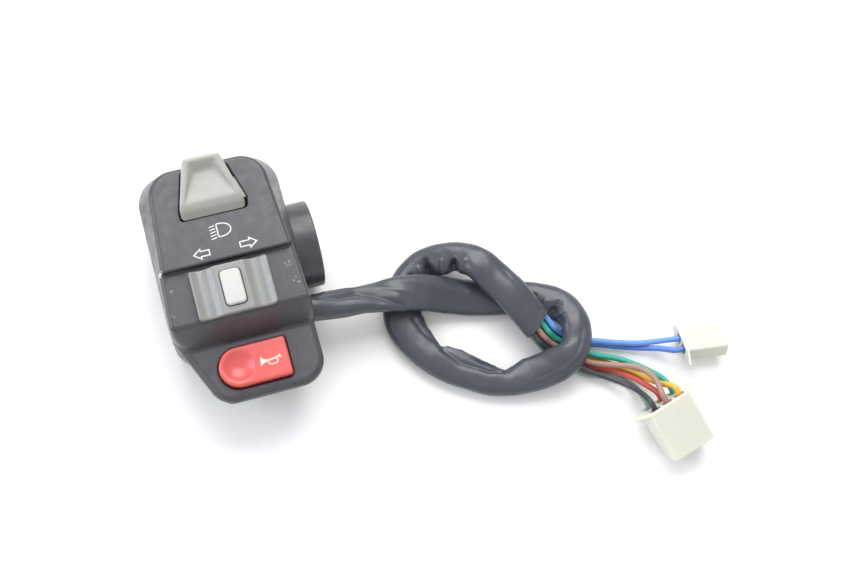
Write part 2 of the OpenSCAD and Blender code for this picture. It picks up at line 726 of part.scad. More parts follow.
module beam_rocker() {
    skirt_z = panel_z - 0.3;
    low_z = panel_z + 0.5;
    dish_low = rocker_ridge_y + 0.9;
    dish_up = rocker_tip_y - 3.8;
    color([0.66, 0.67, 0.62])
    difference() {
        union() {
            intersection() {
                along_x(-rocker_half - 1, rocker_half + 1)
                    polygon([[rocker_low_y, skirt_z], [rocker_body_up, skirt_z],
                        [rocker_body_up, panel_z + 1.7], [rocker_tip_y + 0.2, rocker_tip_z - 2.2],
                        [rocker_tip_y, rocker_tip_z],
                        [rocker_ridge_y, rocker_ridge_z], [rocker_low_y, low_z]]);
                plate([[rocker_half - 0.2, rocker_low_y, 1.4], [rocker_half, rocker_ridge_y, 2],
                    [rocker_tip_half, rocker_tip_y + 0.2, 1.4], [-rocker_tip_half, rocker_tip_y + 0.2, 1.4],
                    [-rocker_half, rocker_ridge_y, 2], [-rocker_half + 0.2, rocker_low_y, 1.4]],
                    skirt_z - 1, rocker_tip_z + 1);
            }
            block(-rocker_body_half, rocker_body_half, rocker_low_y + 0.4, rocker_y + 3.4,
                rocker_foot_z, skirt_z + eps);
            block(-rocker_tip_half, rocker_tip_half, rocker_y, rocker_body_up, rocker_foot_z, skirt_z + eps);
            about_pivot(plunger_lean) post(plunger_r + 1.3, -plunger_boss_low, -1);
        }
        hull() {
            plate([[rocker_half - 1.6, dish_low, 0.6], [2.9, dish_up, 0.6], [-2.9, dish_up, 0.6],
                [-rocker_half + 1.6, dish_low, 0.6]], rocker_ridge_z + 0.1, rocker_ridge_z + 0.2);
            plate([[rocker_half - 0.4, dish_low, 0.6], [rocker_tip_half - 0.8, rocker_tip_y - 1, 0.6],
                [-rocker_tip_half + 0.8, rocker_tip_y - 1, 0.6], [-rocker_half + 0.4, dish_low, 0.6]],
                rocker_tip_z + 0.3, rocker_tip_z + 2);
        }
        about_pivot() {
            rod_x(5.2, rocker_body_half + 1, pin_r + run_gap);
            rod_x(-rocker_body_half - 1, -5.2, pin_r + run_gap);
        }
        about_pivot(plunger_lean) post(plunger_r + run_gap, -plunger_boss_low - 1, plunger_bore_top);
    }
}

module rocker_pins() {
    color([0.72, 0.73, 0.74])
    about_pivot() {
        rod_x(5.4, cheek_x1, pin_r);
        rod_x(-cheek_x1, -5.4, pin_r);
    }
}

module rocker_cradle() {
    ear = cradle_screw_x + post_r - 0.4;
    color([0.93, 0.93, 0.9])
    difference() {
        union() {
            block(-cheek_x1, cheek_x1, rocker_y - 7, rocker_y + 7, cradle_top - cradle_t, cradle_top);
            block(-ear, ear, rocker_y - 3, rocker_y + 3, cradle_top - cradle_t, cradle_top);
            block(cheek_x0, ear, rocker_y - 4.6, rocker_y + 3, cradle_top - cradle_t, cradle_top);
            rocker_guide();
            for (side = [0, 1])
                mirror([side, 0, 0]) {
                    block(cheek_x0, cheek_x1, rocker_y - cheek_r, rocker_y + cheek_r,
                        cradle_top - eps, pivot_z);
                    about_pivot() rod_x(cheek_x0, cheek_x1, cheek_r);
                }
        }
        about_pivot() rod_x(-cheek_x1 - 1, cheek_x1 + 1, pin_r + press_gap);
        for (side = [-1, 1])
            translate([side * cradle_screw_x, rocker_y, 0])
                post(small_screw_r + press_gap, cradle_top - cradle_t - 1, cradle_top + 1);
        for (k = [-1, 0, 1])
            translate([0, rocker_y + k * beam_stud_y, 0])
                post(stud_r + press_gap, cradle_top - cradle_t - 1, cradle_top + 1);
    }
}

module rocker_spring() {
    color([0.7, 0.7, 0.72])
    about_pivot(plunger_lean)
        coil_spring(1.05, 0.35, -plunger_tip + plunger_len + 0.1, plunger_bore_top - 0.1, 4);
}

module rocker_plunger() {
    color([0.85, 0.82, 0.72])
    about_pivot(plunger_lean) {
        post(plunger_r, -plunger_tip + plunger_r, -plunger_tip + plunger_len);
        translate([0, 0, -plunger_tip + plunger_r]) sphere(r = plunger_r, $fn = 40);
    }
}

// Brass see-saw under the plunger, at rest on the upper terminal
module beam_contact() {
    color([0.8, 0.62, 0.3])
    translate([0, rocker_y, see_saw_z]) rotate([-see_saw_lean, 0, 0])
        difference() {
            block(-2.2, 2.2, -see_saw_half, see_saw_half, 0, contact_t);
            rod_x(-3, 3, fulcrum_r + run_gap);
        }
}

module beam_terminals() {
    end_top = see_saw_z - see_saw_half * sin(see_saw_lean) - touch_gap;
    middle_top = see_saw_z - fulcrum_r * 0.8;
    color([0.83, 0.66, 0.35]) {
        for (k = [-1, 0, 1])
            translate([0, rocker_y + k * beam_stud_y, 0])
                stud(1.4, cradle_top, k == 0 ? middle_top : end_top, cradle_top - cradle_t - 1.2);
        translate([0, rocker_y, see_saw_z]) rod_x(-fulcrum_half, fulcrum_half, fulcrum_r);
    }
}

module cradle_screws() {
    color([0.68, 0.69, 0.7])
    for (side = [-1, 1])
        translate([side * cradle_screw_x, rocker_y, 0])
            screw(small_head_r, small_head_t, small_screw_r, cradle_top - cradle_t,
                cradle_top - cradle_t + small_screw_len);
}

module turn_slider() {
    groove_z = slider_z1 - groove_depth + groove_r;
    pocket = [cancel_w / 2 + slide_gap, cancel_h / 2 + slide_gap];
    color([0.62, 0.63, 0.58])
    translate([0, turn_y, 0]) {
        difference() {
            plate(rect_corners(-slider_w / 2, -slider_h / 2, slider_w / 2, slider_h / 2, 1),
                slider_z0, slider_z1);
            for (side = [-1, 1])
                translate([side * (plateau_half + 3.1), slider_h / 2 + 1, groove_z]) rotate([90, 0, 0])
                    cylinder(h = slider_h + 2, r = groove_r, $fn = 96);
            plate(rect_corners(-pocket.x, -pocket.y, pocket.x, pocket.y, 1.4), slider_z0 - 1, slider_z1 + 1);
        }
        for (side = [0, 1])
            mirror([side, 0, 0])
                block(leg_x0, leg_x0 + leg_t, -leg_half_y, leg_half_y, carriage_z1, slider_z0 + 0.6);
    }
}

module cancel_button() {
    snap_top = carriage_z0 - slide_gap;
    corners = rect_corners(-cancel_w / 2, -cancel_h / 2, cancel_w / 2, cancel_h / 2, 1.3);
    color([0.96, 0.95, 0.93])
    translate([0, turn_y, 0]) {
        loft([for (s = concat([[cancel_z0, 0]], edge_steps(cancel_z1, 0.6, 1)))
            [s[0], rounded(inset(corners, s[1]))]]);
        post(cancel_stem_r, snap_top - 0.4, cancel_z0 + eps);
        post(cancel_snap_r, snap_top - 0.7, snap_top);
    }
}

module cancel_spring() {
    color([0.7, 0.7, 0.72])
    translate([0, turn_y, 0]) coil_spring(2.2, 0.5, carriage_z1 + 0.05, cancel_z0 - 0.05, 3);
}

module turn_carriage() {
    color([0.9, 0.89, 0.85])
    translate([0, turn_y, 0])
    difference() {
        block(-carriage_half, carriage_half, -carriage_low, carriage_up, carriage_z0, carriage_z1);
        post(cancel_stem_r + run_gap, carriage_z0 - 1, carriage_z1 + 1);
        for (side = [-1, 1])
            translate([side * contact_spring_x, 0, 0])
                post(contact_spring_r + 0.4, carriage_z0 - 1, carriage_z0 + contact_pocket);
        translate([0, detent_y, 0]) post(detent_r + run_gap, carriage_z1 - detent_depth, carriage_z1 + 1);
    }
}

// Bridge contact pressed down on the turn terminals
module turn_contact() {
    color([0.8, 0.62, 0.3])
    translate([0, turn_y, turn_contact_z1 - contact_t]) {
        difference() {
            block(-8, 8, -4.4, 4.4, 0, contact_t);
            block(-3, 3, -2.6, 2.6, -1, contact_t + 1);
        }
        for (x = [-6.5, 6.5], y = [-dimple_y, dimple_y])
            translate([x, y, 0.2]) sphere(r = dimple_r, $fn = 32);
    }
}

module turn_contact_springs() {
    color([0.7, 0.7, 0.72])
    for (side = [-1, 1])
        translate([side * contact_spring_x, turn_y, 0])
            coil_spring(contact_spring_r, 0.35, turn_contact_z1 + 0.05,
                carriage_z0 + contact_pocket - 0.05, 2.5);
}

module detent_ball() {
    color([0.75, 0.76, 0.78])
    translate([0, turn_y + detent_y, carriage_z1]) sphere(r = detent_r, $fn = 40);
}

module detent_spring() {
    color([0.7, 0.7, 0.72])
    translate([0, turn_y + detent_y, 0])
        coil_spring(0.75, 0.3, carriage_z1 - detent_depth + 0.05, carriage_z1 - detent_r * 0.8, 1.5);
}

turn_studs = [[-6.5, dimple_y], [6.5, dimple_y], [0, -dimple_y]];

module turn_board() {
    color([0.55, 0.36, 0.2])
    translate([0, turn_y, 0])
    difference() {
        plate(rect_corners(-turn_board_half, -5.4, turn_board_half, 5.8, 1.5), turn_board_top - turn_board_t,
            turn_board_top);
        for (side = [-1, 1])
            translate([side * turn_screw_x, 0, 0])
                post(small_screw_r + press_gap, turn_board_top - turn_board_t - 1, turn_board_top + 1);
        for (p = turn_studs)
            translate(p) post(stud_r + press_gap, turn_board_top - turn_board_t - 1, turn_board_top + 1);
    }
}

module turn_terminals() {
    color([0.83, 0.66, 0.35])
    for (p = turn_studs)
        translate([p.x, turn_y + p.y, 0])
            stud(1.5, turn_board_top, turn_stud_z, turn_board_top - turn_board_t - 1);
}

module turn_board_screws() {
    color([0.68, 0.69, 0.7])
    for (side = [-1, 1])
        translate([side * turn_screw_x, turn_y, 0])
            screw(small_head_r, small_head_t, small_screw_r, turn_board_top - turn_board_t,
                turn_board_top - turn_board_t + small_screw_len);
}

module horn_button() {
    dish_sphere = (dish_r * dish_r + dish_depth * dish_depth) / (2 * dish_depth);
    color([0.9, 0.25, 0.22])
    difference() {
        union() {
            loft([for (s = concat([[horn_flange_z1 - eps, 0]], edge_steps(horn_z1, 0.8, 1)))
                [s[0], rounded(inset(horn_outline, s[1]))]]);
            plate(inset(horn_outline, -horn_flange_out), horn_flange_z0, horn_flange_z1);
            translate([horn_spring_x, horn_y, 0])
                post(horn_boss_r, horn_flange_z0 - horn_boss_low, horn_flange_z1);
        }
        translate([horn_spring_x, horn_y, horn_z1 - dish_depth + dish_sphere])
            sphere(r = dish_sphere, $fn = 96);
    }
}

module horn_spring() {
    color([0.7, 0.7, 0.72])
    translate([horn_spring_x, horn_y, 0])
        coil_spring(horn_spring_r, 0.6, horn_board_top + 0.05, horn_flange_z0 - 0.05, 3.5);
}

module horn_contact() {
    color([0.8, 0.62, 0.3])
    translate([horn_contact_x, horn_y, 0]) block(-2.2, 2.2, -4, 4, horn_contact_z0, horn_flange_z0);
}

module horn_board() {
    ear = horn_board_left + horn_board_slant;
    corners = [[horn_board_right, horn_board_low, 4.4], [horn_board_right, horn_y + 3, 1.5],
        [ear, horn_board_up, 1], [horn_board_left, horn_board_up, 1],
        [horn_board_left, horn_board_up - 3.8, 1], [ear, horn_board_low, 1.5]];
    color([0.55, 0.36, 0.2])
    difference() {
        plate(corners, horn_board_top - horn_board_t, horn_board_top);
        for (p = horn_screws)
            translate(p)
                post(small_screw_r + press_gap, horn_board_top - horn_board_t - 1, horn_board_top + 1);
        for (side = [-1, 1])
            translate([horn_contact_x, horn_y + side * horn_stud_y, 0])
                post(stud_r + press_gap, horn_board_top - horn_board_t - 1, horn_board_top + 1);
    }
}

module horn_terminals() {
    color([0.83, 0.66, 0.35])
    for (side = [-1, 1])
        translate([horn_contact_x, horn_y + side * horn_stud_y, 0])
            stud(1.3, horn_board_top, horn_stud_z, horn_board_top - horn_board_t - 1);
}

module horn_board_screws() {
    color([0.68, 0.69, 0.7])
    for (p = horn_screws)
        translate(p)
            screw(small_head_r, small_head_t, small_screw_r, horn_board_top - horn_board_t,
                horn_board_top - horn_board_t + small_screw_len);
}

module harness_sleeve() {
    path = spline(sleeve_route, sleeve_steps);
    neck = sleeve_neck_points * sleeve_steps;
    function share(i) = min(max((i - neck / 2) / neck, 0), 1);
    widths = [for (i = [0:len(path) - 1]) sleeve_neck_d + (sleeve_w - sleeve_neck_d) * share(i)];
    heights = [for (i = [0:len(path) - 1]) sleeve_neck_d + (sleeve_t - sleeve_neck_d) * share(i)];
    color([0.17, 0.19, 0.24]) tube(path, widths, heights, sleeve_sides);
}

// Leads inside the housing, from the sleeve to the three boards
lead_x = sleeve_start_x - end_gap;
horn_lead_z = horn_board_top - horn_board_t - 1 - lead_d / 2 - end_gap;
turn_lead_z = turn_board_top - turn_board_t - 1 - lead_d / 2 - end_gap;
beam_lead_z = cradle_top - cradle_t - 1.2 - lead_d / 2 - end_gap;
lead_routes = [
    [[lead_x, exit_y - 1.6, -1.8], [10.4, exit_y - 1.6, -1.8], [horn_contact_x + 1, -25, -1],
        [horn_contact_x + 0.2, -29, horn_lead_z], [horn_contact_x, horn_y + horn_stud_y, horn_lead_z]],
    [[lead_x, exit_y - 1.6, 1.8], [11.6, exit_y - 1.6, 2], [10, exit_y, 5.4], [9, turn_y - 2, 8.4],
        [7.8, turn_y + 1, turn_lead_z], [6.5, turn_y + dimple_y, turn_lead_z]],
    [[lead_x, exit_y + 2.3, 0], [12, exit_y + 2.8, 0.8], [13.2, -15, 5], [13.6, -9.6, 9.8],
        [13.4, -6, 11.6], [13, -1, 13.2], [12.2, 5, 12.4], [9.6, 9.4, beam_lead_z],
        [5.4, rocker_y - beam_stud_y, beam_lead_z], [1, rocker_y - beam_stud_y, beam_lead_z]]
];

module inner_leads() {
    color([0.3, 0.32, 0.36])
    for (route = lead_routes) {
        path = spline(route, wire_steps);
        tube(path, same(lead_d, len(path)), same(lead_d, len(path)), wire_sides);
    }
}

// The turn of a connector for a point, as a roll about X, a slope about Y and a heading about Z
function placed(p, place, turn) =
    let (y = p.y * cos(turn.x) - p.z * sin(turn.x), up = p.y * sin(turn.x) + p.z * cos(turn.x),
        x = p.x * cos(turn.y) + up * sin(turn.y), z = up * cos(turn.y) - p.x * sin(turn.y))
    place + [x * cos(turn.z) - y * sin(turn.z), x * sin(turn.z) + y * cos(turn.z), z];

function wire_end(w, depth) =
    let (p = [depth, w[6] * terminal_pitch, w[7] * row_pitch])
    w[5] == "two" ? placed(p, two_way_place, two_way_turn) : placed(p, six_way_place, six_way_turn);

wire_step = 2.3;

module wire(w) {
    start = sleeve_end + sleeve_end_dir * end_gap + sleeve_end_side * w[2] * wire_step
        + sleeve_end_up * w[3] * wire_step;
    route = concat([start, start + sleeve_end_dir * wire_d, start + sleeve_end_dir * wire_straight], w[4],
        [wire_end(w, -wire_straight), wire_end(w, wire_depth - wire_d), wire_end(w, wire_depth)]);
    path = spline(route, wire_steps);
    color(w[1]) tube(path, same(wire_d, len(path)), same(wire_d, len(path)), wire_sides);
}

module wire_blue_upper() { wire(wires[0]); }
module wire_blue_lower() { wire(wires[1]); }
module wire_teal() { wire(wires[2]); }
module wire_yellow() { wire(wires[3]); }
module wire_brown() { wire(wires[4]); }
module wire_red() { wire(wires[5]); }
module wire_black() { wire(wires[6]); }
module wire_green() { wire(wires[7]); }

// Connector with its wire face at x = 0, and cavities on a grid of columns and rows
module connector(columns, rows, length) {
    half_w = half_width(columns);
    half_h = half_height(rows);
    difference() {
        union() {
            block(0, length, -half_w, half_w, -half_h, half_h);
            along_x(0, flange_t)
                polygon([[half_w, -half_h], [half_w + flange_out, 0], [half_w, half_h],
                    [-half_w, half_h], [-half_w - flange_out, 0], [-half_w, -half_h]]);
        }
        for (c = columns, r = rows)
            translate([0, c * terminal_pitch, r * row_pitch])
                block(-1, length + 1, -cavity_w / 2, cavity_w / 2, -cavity_h / 2, cavity_h / 2);
    }
}

// Brass terminals, each with its crimp barrel against the end of its wire
module terminals(columns, rows) {
    for (c = columns, r = rows)
        translate([wire_depth + end_gap, c * terminal_pitch, r * row_pitch]) {
            rod_x(0, 2, wire_d / 2);
            block(1.5, terminal_len, -terminal_w / 2, terminal_w / 2, -terminal_h / 2, terminal_h / 2);
        }
}

module connector_two_way() {
    color([0.93, 0.93, 0.86]) translate(two_way_place) rotate(two_way_turn)
        connector(two_columns, two_rows, two_way_len);
}

module connector_six_way() {
    color([0.93, 0.93, 0.86]) translate(six_way_place) rotate(six_way_turn)
        connector(six_columns, six_rows, six_way_len);
}

module terminals_two_way() {
    color([0.83, 0.66, 0.35]) translate(two_way_place) rotate(two_way_turn) terminals(two_columns, two_rows);
}

module terminals_six_way() {
    color([0.83, 0.66, 0.35]) translate(six_way_place) rotate(six_way_turn) terminals(six_columns, six_rows);
}

front_housing();
rear_housing();
clamp_screws();
beam_rocker();
rocker_pins();
rocker_cradle();
rocker_spring();
rocker_plunger();
beam_contact();
beam_terminals();
cradle_screws();
turn_slider();
cancel_button();
cancel_spring();
turn_carriage();
turn_contact();
turn_contact_springs();
detent_ball();
detent_spring();
turn_board();
turn_terminals();
turn_board_screws();
horn_button();
horn_spring();
horn_contact();
horn_board();
horn_terminals();
horn_board_screws();
harness_sleeve();
inner_leads();
wire_blue_upper();
wire_blue_lower();
wire_teal();
wire_yellow();
wire_brown();
wire_red();
wire_black();
wire_green();
connector_two_way();
connector_six_way();
terminals_two_way();
terminals_six_way();
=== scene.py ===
"""Dress the handlebar switch cluster: moulded housings, buttons, printed marks, knotted sleeve and wires."""

import json
import logging
import math
from abc import ABC, abstractmethod
from dataclasses import dataclass, field
from enum import Enum
from typing import ClassVar, Sequence

import bpy
import numpy as np
from mathutils import Matrix, Vector


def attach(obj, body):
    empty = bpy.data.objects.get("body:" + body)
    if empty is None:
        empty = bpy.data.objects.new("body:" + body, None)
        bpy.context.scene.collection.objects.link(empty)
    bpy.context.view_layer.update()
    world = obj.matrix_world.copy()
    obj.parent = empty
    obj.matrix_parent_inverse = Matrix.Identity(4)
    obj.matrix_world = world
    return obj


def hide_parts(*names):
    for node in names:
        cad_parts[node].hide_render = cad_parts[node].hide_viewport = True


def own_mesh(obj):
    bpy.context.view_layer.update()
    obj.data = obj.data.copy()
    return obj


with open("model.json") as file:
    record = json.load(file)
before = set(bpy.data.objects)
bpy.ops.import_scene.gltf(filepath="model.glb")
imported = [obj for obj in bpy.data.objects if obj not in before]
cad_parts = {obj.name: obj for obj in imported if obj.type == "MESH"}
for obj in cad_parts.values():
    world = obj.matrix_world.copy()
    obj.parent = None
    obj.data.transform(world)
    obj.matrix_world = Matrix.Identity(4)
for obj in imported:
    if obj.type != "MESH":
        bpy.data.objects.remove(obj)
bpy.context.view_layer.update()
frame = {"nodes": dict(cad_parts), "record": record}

MM = 0.001
TABLE_Z = -14.5
TURN_Y = -14.35
HORN_LEFT, HORN_RIGHT, HORN_Y, HORN_HALF = -9.8, 11.2, -35.75, 5.95
NOISE_LOW, NOISE_HIGH = 0.3, 0.7
CHIP_STARTS, CHIP_FULL = 0.95, 1.12
CHIP_SCALE = 1100.0
GRAIN_DEPTH = 0.0003
POD_DRAFT = 1.8
UP = np.array([0.0, 0.0, 1.0])

log = logging.getLogger("scene")

Array = np.ndarray
Grid = Sequence[Array]  # places along the bar, up the face and out of it
Object = bpy.types.Object
Material = bpy.types.Material
Socket = bpy.types.NodeSocket
Tree = bpy.types.NodeTree
Colour = tuple[float, float, float]
Point = tuple[float, float, float]
Pair = tuple[float, float]


class Body(str, Enum):
    """Bodies of the frame that pieces ride on."""

    HOUSING = "housing"
    ROCKER = "rocker"
    SLIDER = "slider"
    CANCEL = "cancel"
    HORN = "horn"


class Slot(str, Enum):
    """Material slots of the record."""

    BLACK = "black_plastic"
    GREY = "grey_plastic"
    SLIDER = "slider_plastic"
    WHITE = "white_plastic"
    RED = "red_plastic"
    BOARD = "board_plastic"
    ZINC = "zinc_steel"
    SPRING = "spring_steel"
    BRASS = "contact_brass"
    SLEEVE = "sleeve_vinyl"
    NYLON = "ivory_nylon"
    LEAD = "black_wire"


# Fields are negative inside, in millimetres, and take arrays of points


def slab(v: Array, low: float, high: float) -> Array:
    """Return the field of the space from low to high."""
    return np.maximum(low - v, v - high)


def either(first: Array, *others: Array) -> Array:
    """Return the field inside any of several forms.

    Args:
        first: Field of one form.
        others: Fields of the rest.

    Returns:
        The joint field.
    """
    for other in others:
        first = np.minimum(first, other)
    return first


def round_both(a: Array, b: Array, r: float) -> Array:
    """Return the field inside both a and b, with their edge rounded by r."""
    corner = np.hypot(np.maximum(a + r, 0), np.maximum(b + r, 0))
    return np.minimum(np.maximum(a, b), -r) + corner


def round_join(a: Array, b: Array, r: float) -> Array:
    """Return the field inside a or b, with a fillet of radius r between them."""
    return -round_both(-a, -b, r)


def round_cut(a: Array, tool: Array, r: float) -> Array:
    """Return the field of a without the tool, with the rim rounded by r."""
    return round_both(a, -tool, r)


def block(p: Grid, x: Sequence[float], y: Sequence[float], z: Sequence[float]) -> Array:
    """Return the field of a box between pairs of bounds."""
    return np.maximum(np.maximum(slab(p[0], *x), slab(p[1], *y)), slab(p[2], *z))


def post(x: Array, y: Array, z: Array, r: float, low: float, high: float) -> Array:
    """Return the field of a round post along z."""
    return np.maximum(np.hypot(x, y) - r, slab(z, low, high))


def beside(x: Array, y: Array, a: Sequence[float], b: Sequence[float]) -> Array:
    """Return the distance to the right of the line from a to b, in the plane of x and y."""
    dx, dy = b[0] - a[0], b[1] - a[1]
    return ((x - a[0]) * dy - (y - a[1]) * dx) / np.hypot(dx, dy)


def unit(v: Array) -> Array:
    """Return vectors along v of length one."""
    return v / np.maximum(np.linalg.norm(v, axis=-1, keepdims=True), 1e-12)


def link(name: str, data: bpy.types.ID) -> Object:
    """Return a new object of a mesh, light or camera, linked to the scene.

    Args:
        name: Name of the object.
        data: Its mesh, light or camera.

    Returns:
        The object.
    """
    obj = bpy.data.objects.new(name, data)
    bpy.context.scene.collection.objects.link(obj)
    return obj


def quad_mesh(name: str, points: Array, quads: Array, normals: Array | None = None) -> Object:
    """Make a smooth mesh object from points in millimetres.

    Args:
        name: Name of the object.
        points: Vertices, one row each.
        quads: Four vertex numbers for each face, anticlockwise from outside.
        normals: One normal for each vertex, where the form knows them.

    Returns:
        The object.
    """
    mesh = bpy.data.meshes.new(name)
    mesh.vertices.add(len(points))
    mesh.vertices.foreach_set("co", np.ascontiguousarray(points * MM, dtype=np.float32).ravel())
    mesh.loops.add(quads.size)
    mesh.loops.foreach_set("vertex_index", np.ascontiguousarray(quads, dtype=np.int32).ravel())
    mesh.polygons.add(len(quads))
    mesh.polygons.foreach_set("loop_start", np.arange(0, quads.size, quads.shape[1], dtype=np.int32))
    mesh.update(calc_edges=True)
    mesh.validate()
    mesh.polygons.foreach_set("use_smooth", np.ones(len(mesh.polygons), dtype=bool))
    if normals is not None:
        mesh.normals_split_custom_set_from_vertices(normals.tolist())
    return link(name, mesh)


def joined(name: str, parts: Sequence[tuple[Array, Array]]) -> Object:
    """Return one mesh object of several parts, each given by its points and quads.

    Args:
        name: Name of the object.
        parts: Points and quads of each part.

    Returns:
        The object.
    """
    starts = np.cumsum([0] + [len(points) for points, _ in parts])
    quads = [part[1] + start for part, start in zip(parts, starts)]
    return quad_mesh(name, np.concatenate([points for points, _ in parts]), np.concatenate(quads))


def point_values(obj: Object, name: str, values: Array) -> None:
    """Store one number for each vertex, for the object's material to read."""
    attribute = obj.data.attributes.new(name, "FLOAT", "POINT")
    attribute.data.foreach_set("value", np.ascontiguousarray(values, dtype=np.float32))


def feed(tree: Tree, node: bpy.types.Node, values: dict[str, object]) -> None:
    """Set a node's inputs by name, linking those whose value is another node's output.

    Args:
        tree: Node tree that holds the node.
        node: Node to set.
        values: Numbers, colours or sockets by the name of the input.
    """
    for name, value in values.items():
        if isinstance(value, Socket):
            tree.links.new(value, node.inputs[name])
        else:
            node.inputs[name].default_value = value


@dataclass(frozen=True)
class Finish:
    """Procedural surface: a base colour that two noises vary, a grain, and wear where a mesh asks for it."""

    name: str
    colour: Colour
    roughness: float = 0.45
    specular: float = 0.5
    metallic: float = 0.0
    mottle: float = 0.12
    mottle_scale: float = 160.0
    rough_spread: float = 0.1
    grain: float = 0.08
    grain_scale: float = 3500.0
    subsurface: float = 0.0
    transmission: float = 0.0
    wear: Colour | None = None
    made: ClassVar[dict[str, Material]] = {}

    def material(self) -> Material:
        """Return the material, made on first use.

        Returns:
            The material.
        """
        if self.name not in Finish.made:
            Finish.made[self.name] = self._make()
        return Finish.made[self.name]

    def _make(self) -> Material:
        """Return a new material with this finish.

        Returns:
            The material.
        """
        mat = bpy.data.materials.new(self.name)
        mat.use_nodes = True
        mat.diffuse_color = (*self.colour, 1.0)
        tree = mat.node_tree
        shader = tree.nodes["Principled BSDF"]
        feed(tree, shader, {"Metallic": self.metallic, "Specular IOR Level": self.specular})
        if self.subsurface:
            shader.inputs["Subsurface Weight"].default_value = self.subsurface
            shader.inputs["Subsurface Radius"].default_value = (1.0, 0.9, 0.7)
            shader.inputs["Subsurface Scale"].default_value = 0.002
        if self.transmission:
            shader.inputs["Transmission Weight"].default_value = self.transmission
        coords = tree.nodes.new("ShaderNodeTexCoord").outputs["Object"]
        mottled = self._noise(tree, coords, self.mottle_scale, 4.0)
        colour = tree.nodes.new("ShaderNodeValToRGB")
        dark, pale = colour.color_ramp.elements
        dark.position, pale.position = NOISE_LOW, NOISE_HIGH
        dark.color = (*(c * (1 - self.mottle) for c in self.colour), 1)
        pale.color = (*(min(c * (1 + self.mottle), 1) for c in self.colour), 1)
        tree.links.new(mottled, colour.inputs["Fac"])
        shown = colour.outputs["Color"]
        if self.wear is not None:
            shown = self._worn(tree, coords, shown)
        tree.links.new(shown, shader.inputs["Base Color"])
        rough = tree.nodes.new("ShaderNodeMapRange")
        low, high = self.roughness - self.rough_spread, self.roughness + self.rough_spread
        feed(tree, rough, {"From Min": NOISE_LOW, "From Max": NOISE_HIGH, "To Min": low, "To Max": high})
        tree.links.new(self._noise(tree, coords, self.mottle_scale * 2.3, 3.0), rough.inputs["Value"])
        tree.links.new(rough.outputs["Result"], shader.inputs["Roughness"])
        bump = tree.nodes.new("ShaderNodeBump")
        feed(tree, bump, {"Strength": self.grain, "Distance": GRAIN_DEPTH})
        tree.links.new(self._noise(tree, coords, self.grain_scale, 2.0), bump.inputs["Height"])
        tree.links.new(bump.outputs["Normal"], shader.inputs["Normal"])
        return mat

    def _noise(self, tree: Tree, coords: Socket, scale: float, detail: float) -> Socket:
        """Return the value of a new noise at the given scale per metre.

        Args:
            tree: Node tree of the material.
            coords: Place on the object.
            scale: Scale per metre.
            detail: Octaves of detail.

        Returns:
            Socket of the noise.
        """
        noise = tree.nodes.new("ShaderNodeTexNoise")
        feed(tree, noise, {"Scale": scale, "Detail": detail, "Vector": coords})
        return noise.outputs["Fac"]

    def _worn(self, tree: Tree, coords: Socket, shown: Socket) -> Socket:
        """Return the colour with chips and scuffs where the mesh's wear value is high.

        Args:
            tree: Node tree of the material.
            coords: Place on the object.
            shown: Colour without wear.

        Returns:
            Socket of the worn colour.
        """
        amount = tree.nodes.new("ShaderNodeAttribute")
        amount.attribute_name = "wear"
        total = tree.nodes.new("ShaderNodeMath")
        total.operation = "ADD"
        tree.links.new(amount.outputs["Fac"], total.inputs[0])
        tree.links.new(self._noise(tree, coords, CHIP_SCALE, 5.0), total.inputs[1])
        chips = tree.nodes.new("ShaderNodeMapRange")
        feed(tree, chips, {"From Min": CHIP_STARTS, "From Max": CHIP_FULL, "Value": total.outputs["Value"]})
        mix = tree.nodes.new("ShaderNodeMix")
        mix.data_type = "RGBA"
        feed(tree, mix, {"Factor": chips.outputs["Result"], "A": shown, "B": (*self.wear, 1)})
        return mix.outputs["Result"]

    def on(self, obj: Object) -> None:
        """Give the object this finish alone."""
        obj.data.materials.clear()
        obj.data.materials.append(self.material())


def settle(obj: Object, finish: Finish, body: Body, slot: str, *nodes: str) -> Object:
    """Finish a piece, attach it to its body and hide the CAD nodes that it stands for.

    Args:
        obj: The piece.
        finish: Its surface.
        body: Body that it rides on.
        slot: Name of its material slot; not used.
        nodes: CAD nodes that it replaces, if any.

    Returns:
        The piece.
    """
    finish.on(obj)
    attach(obj, body.value)
    if nodes:
        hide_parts(*nodes)
    log.info("%s: %d faces on %s", obj.name, len(obj.data.polygons), body.value)
    return obj


HOUSING_FINISH = Finish(
    "moulded_black", (0.050, 0.049, 0.058), roughness=0.33, mottle=0.08, grain=0.05, wear=(0.62, 0.62, 0.60)
)
ROCKER_FINISH = Finish("moulded_grey", (0.34, 0.345, 0.315), roughness=0.46, mottle=0.03, grain=0.03)
SLIDER_FINISH = Finish("moulded_slate", (0.215, 0.22, 0.215), roughness=0.26, mottle=0.04, grain=0.03)
WHITE_FINISH = Finish("moulded_white", (0.47, 0.468, 0.455), roughness=0.42, mottle=0.02, grain=0.02)
HORN_FINISH = Finish("moulded_coral", (0.60, 0.094, 0.088), roughness=0.28, mottle=0.03, grain=0.02)
BOARD_FINISH = Finish("pressed_board", (0.24, 0.14, 0.07), roughness=0.6, mottle=0.2)
ZINC_FINISH = Finish("zinc_plate", (0.62, 0.62, 0.60), roughness=0.34, metallic=1.0, mottle=0.08)
SPRING_FINISH = Finish("spring_wire", (0.50, 0.50, 0.52), roughness=0.25, metallic=1.0, mottle=0.05)
BRASS_FINISH = Finish("contact_metal", (0.72, 0.52, 0.22), roughness=0.30, metallic=1.0, mottle=0.1)
SLEEVE_FINISH = Finish(
    "soft_vinyl", (0.048, 0.053, 0.068), roughness=0.30, mottle=0.16, mottle_scale=90.0, grain=0.04,
    grain_scale=1400.0,
)
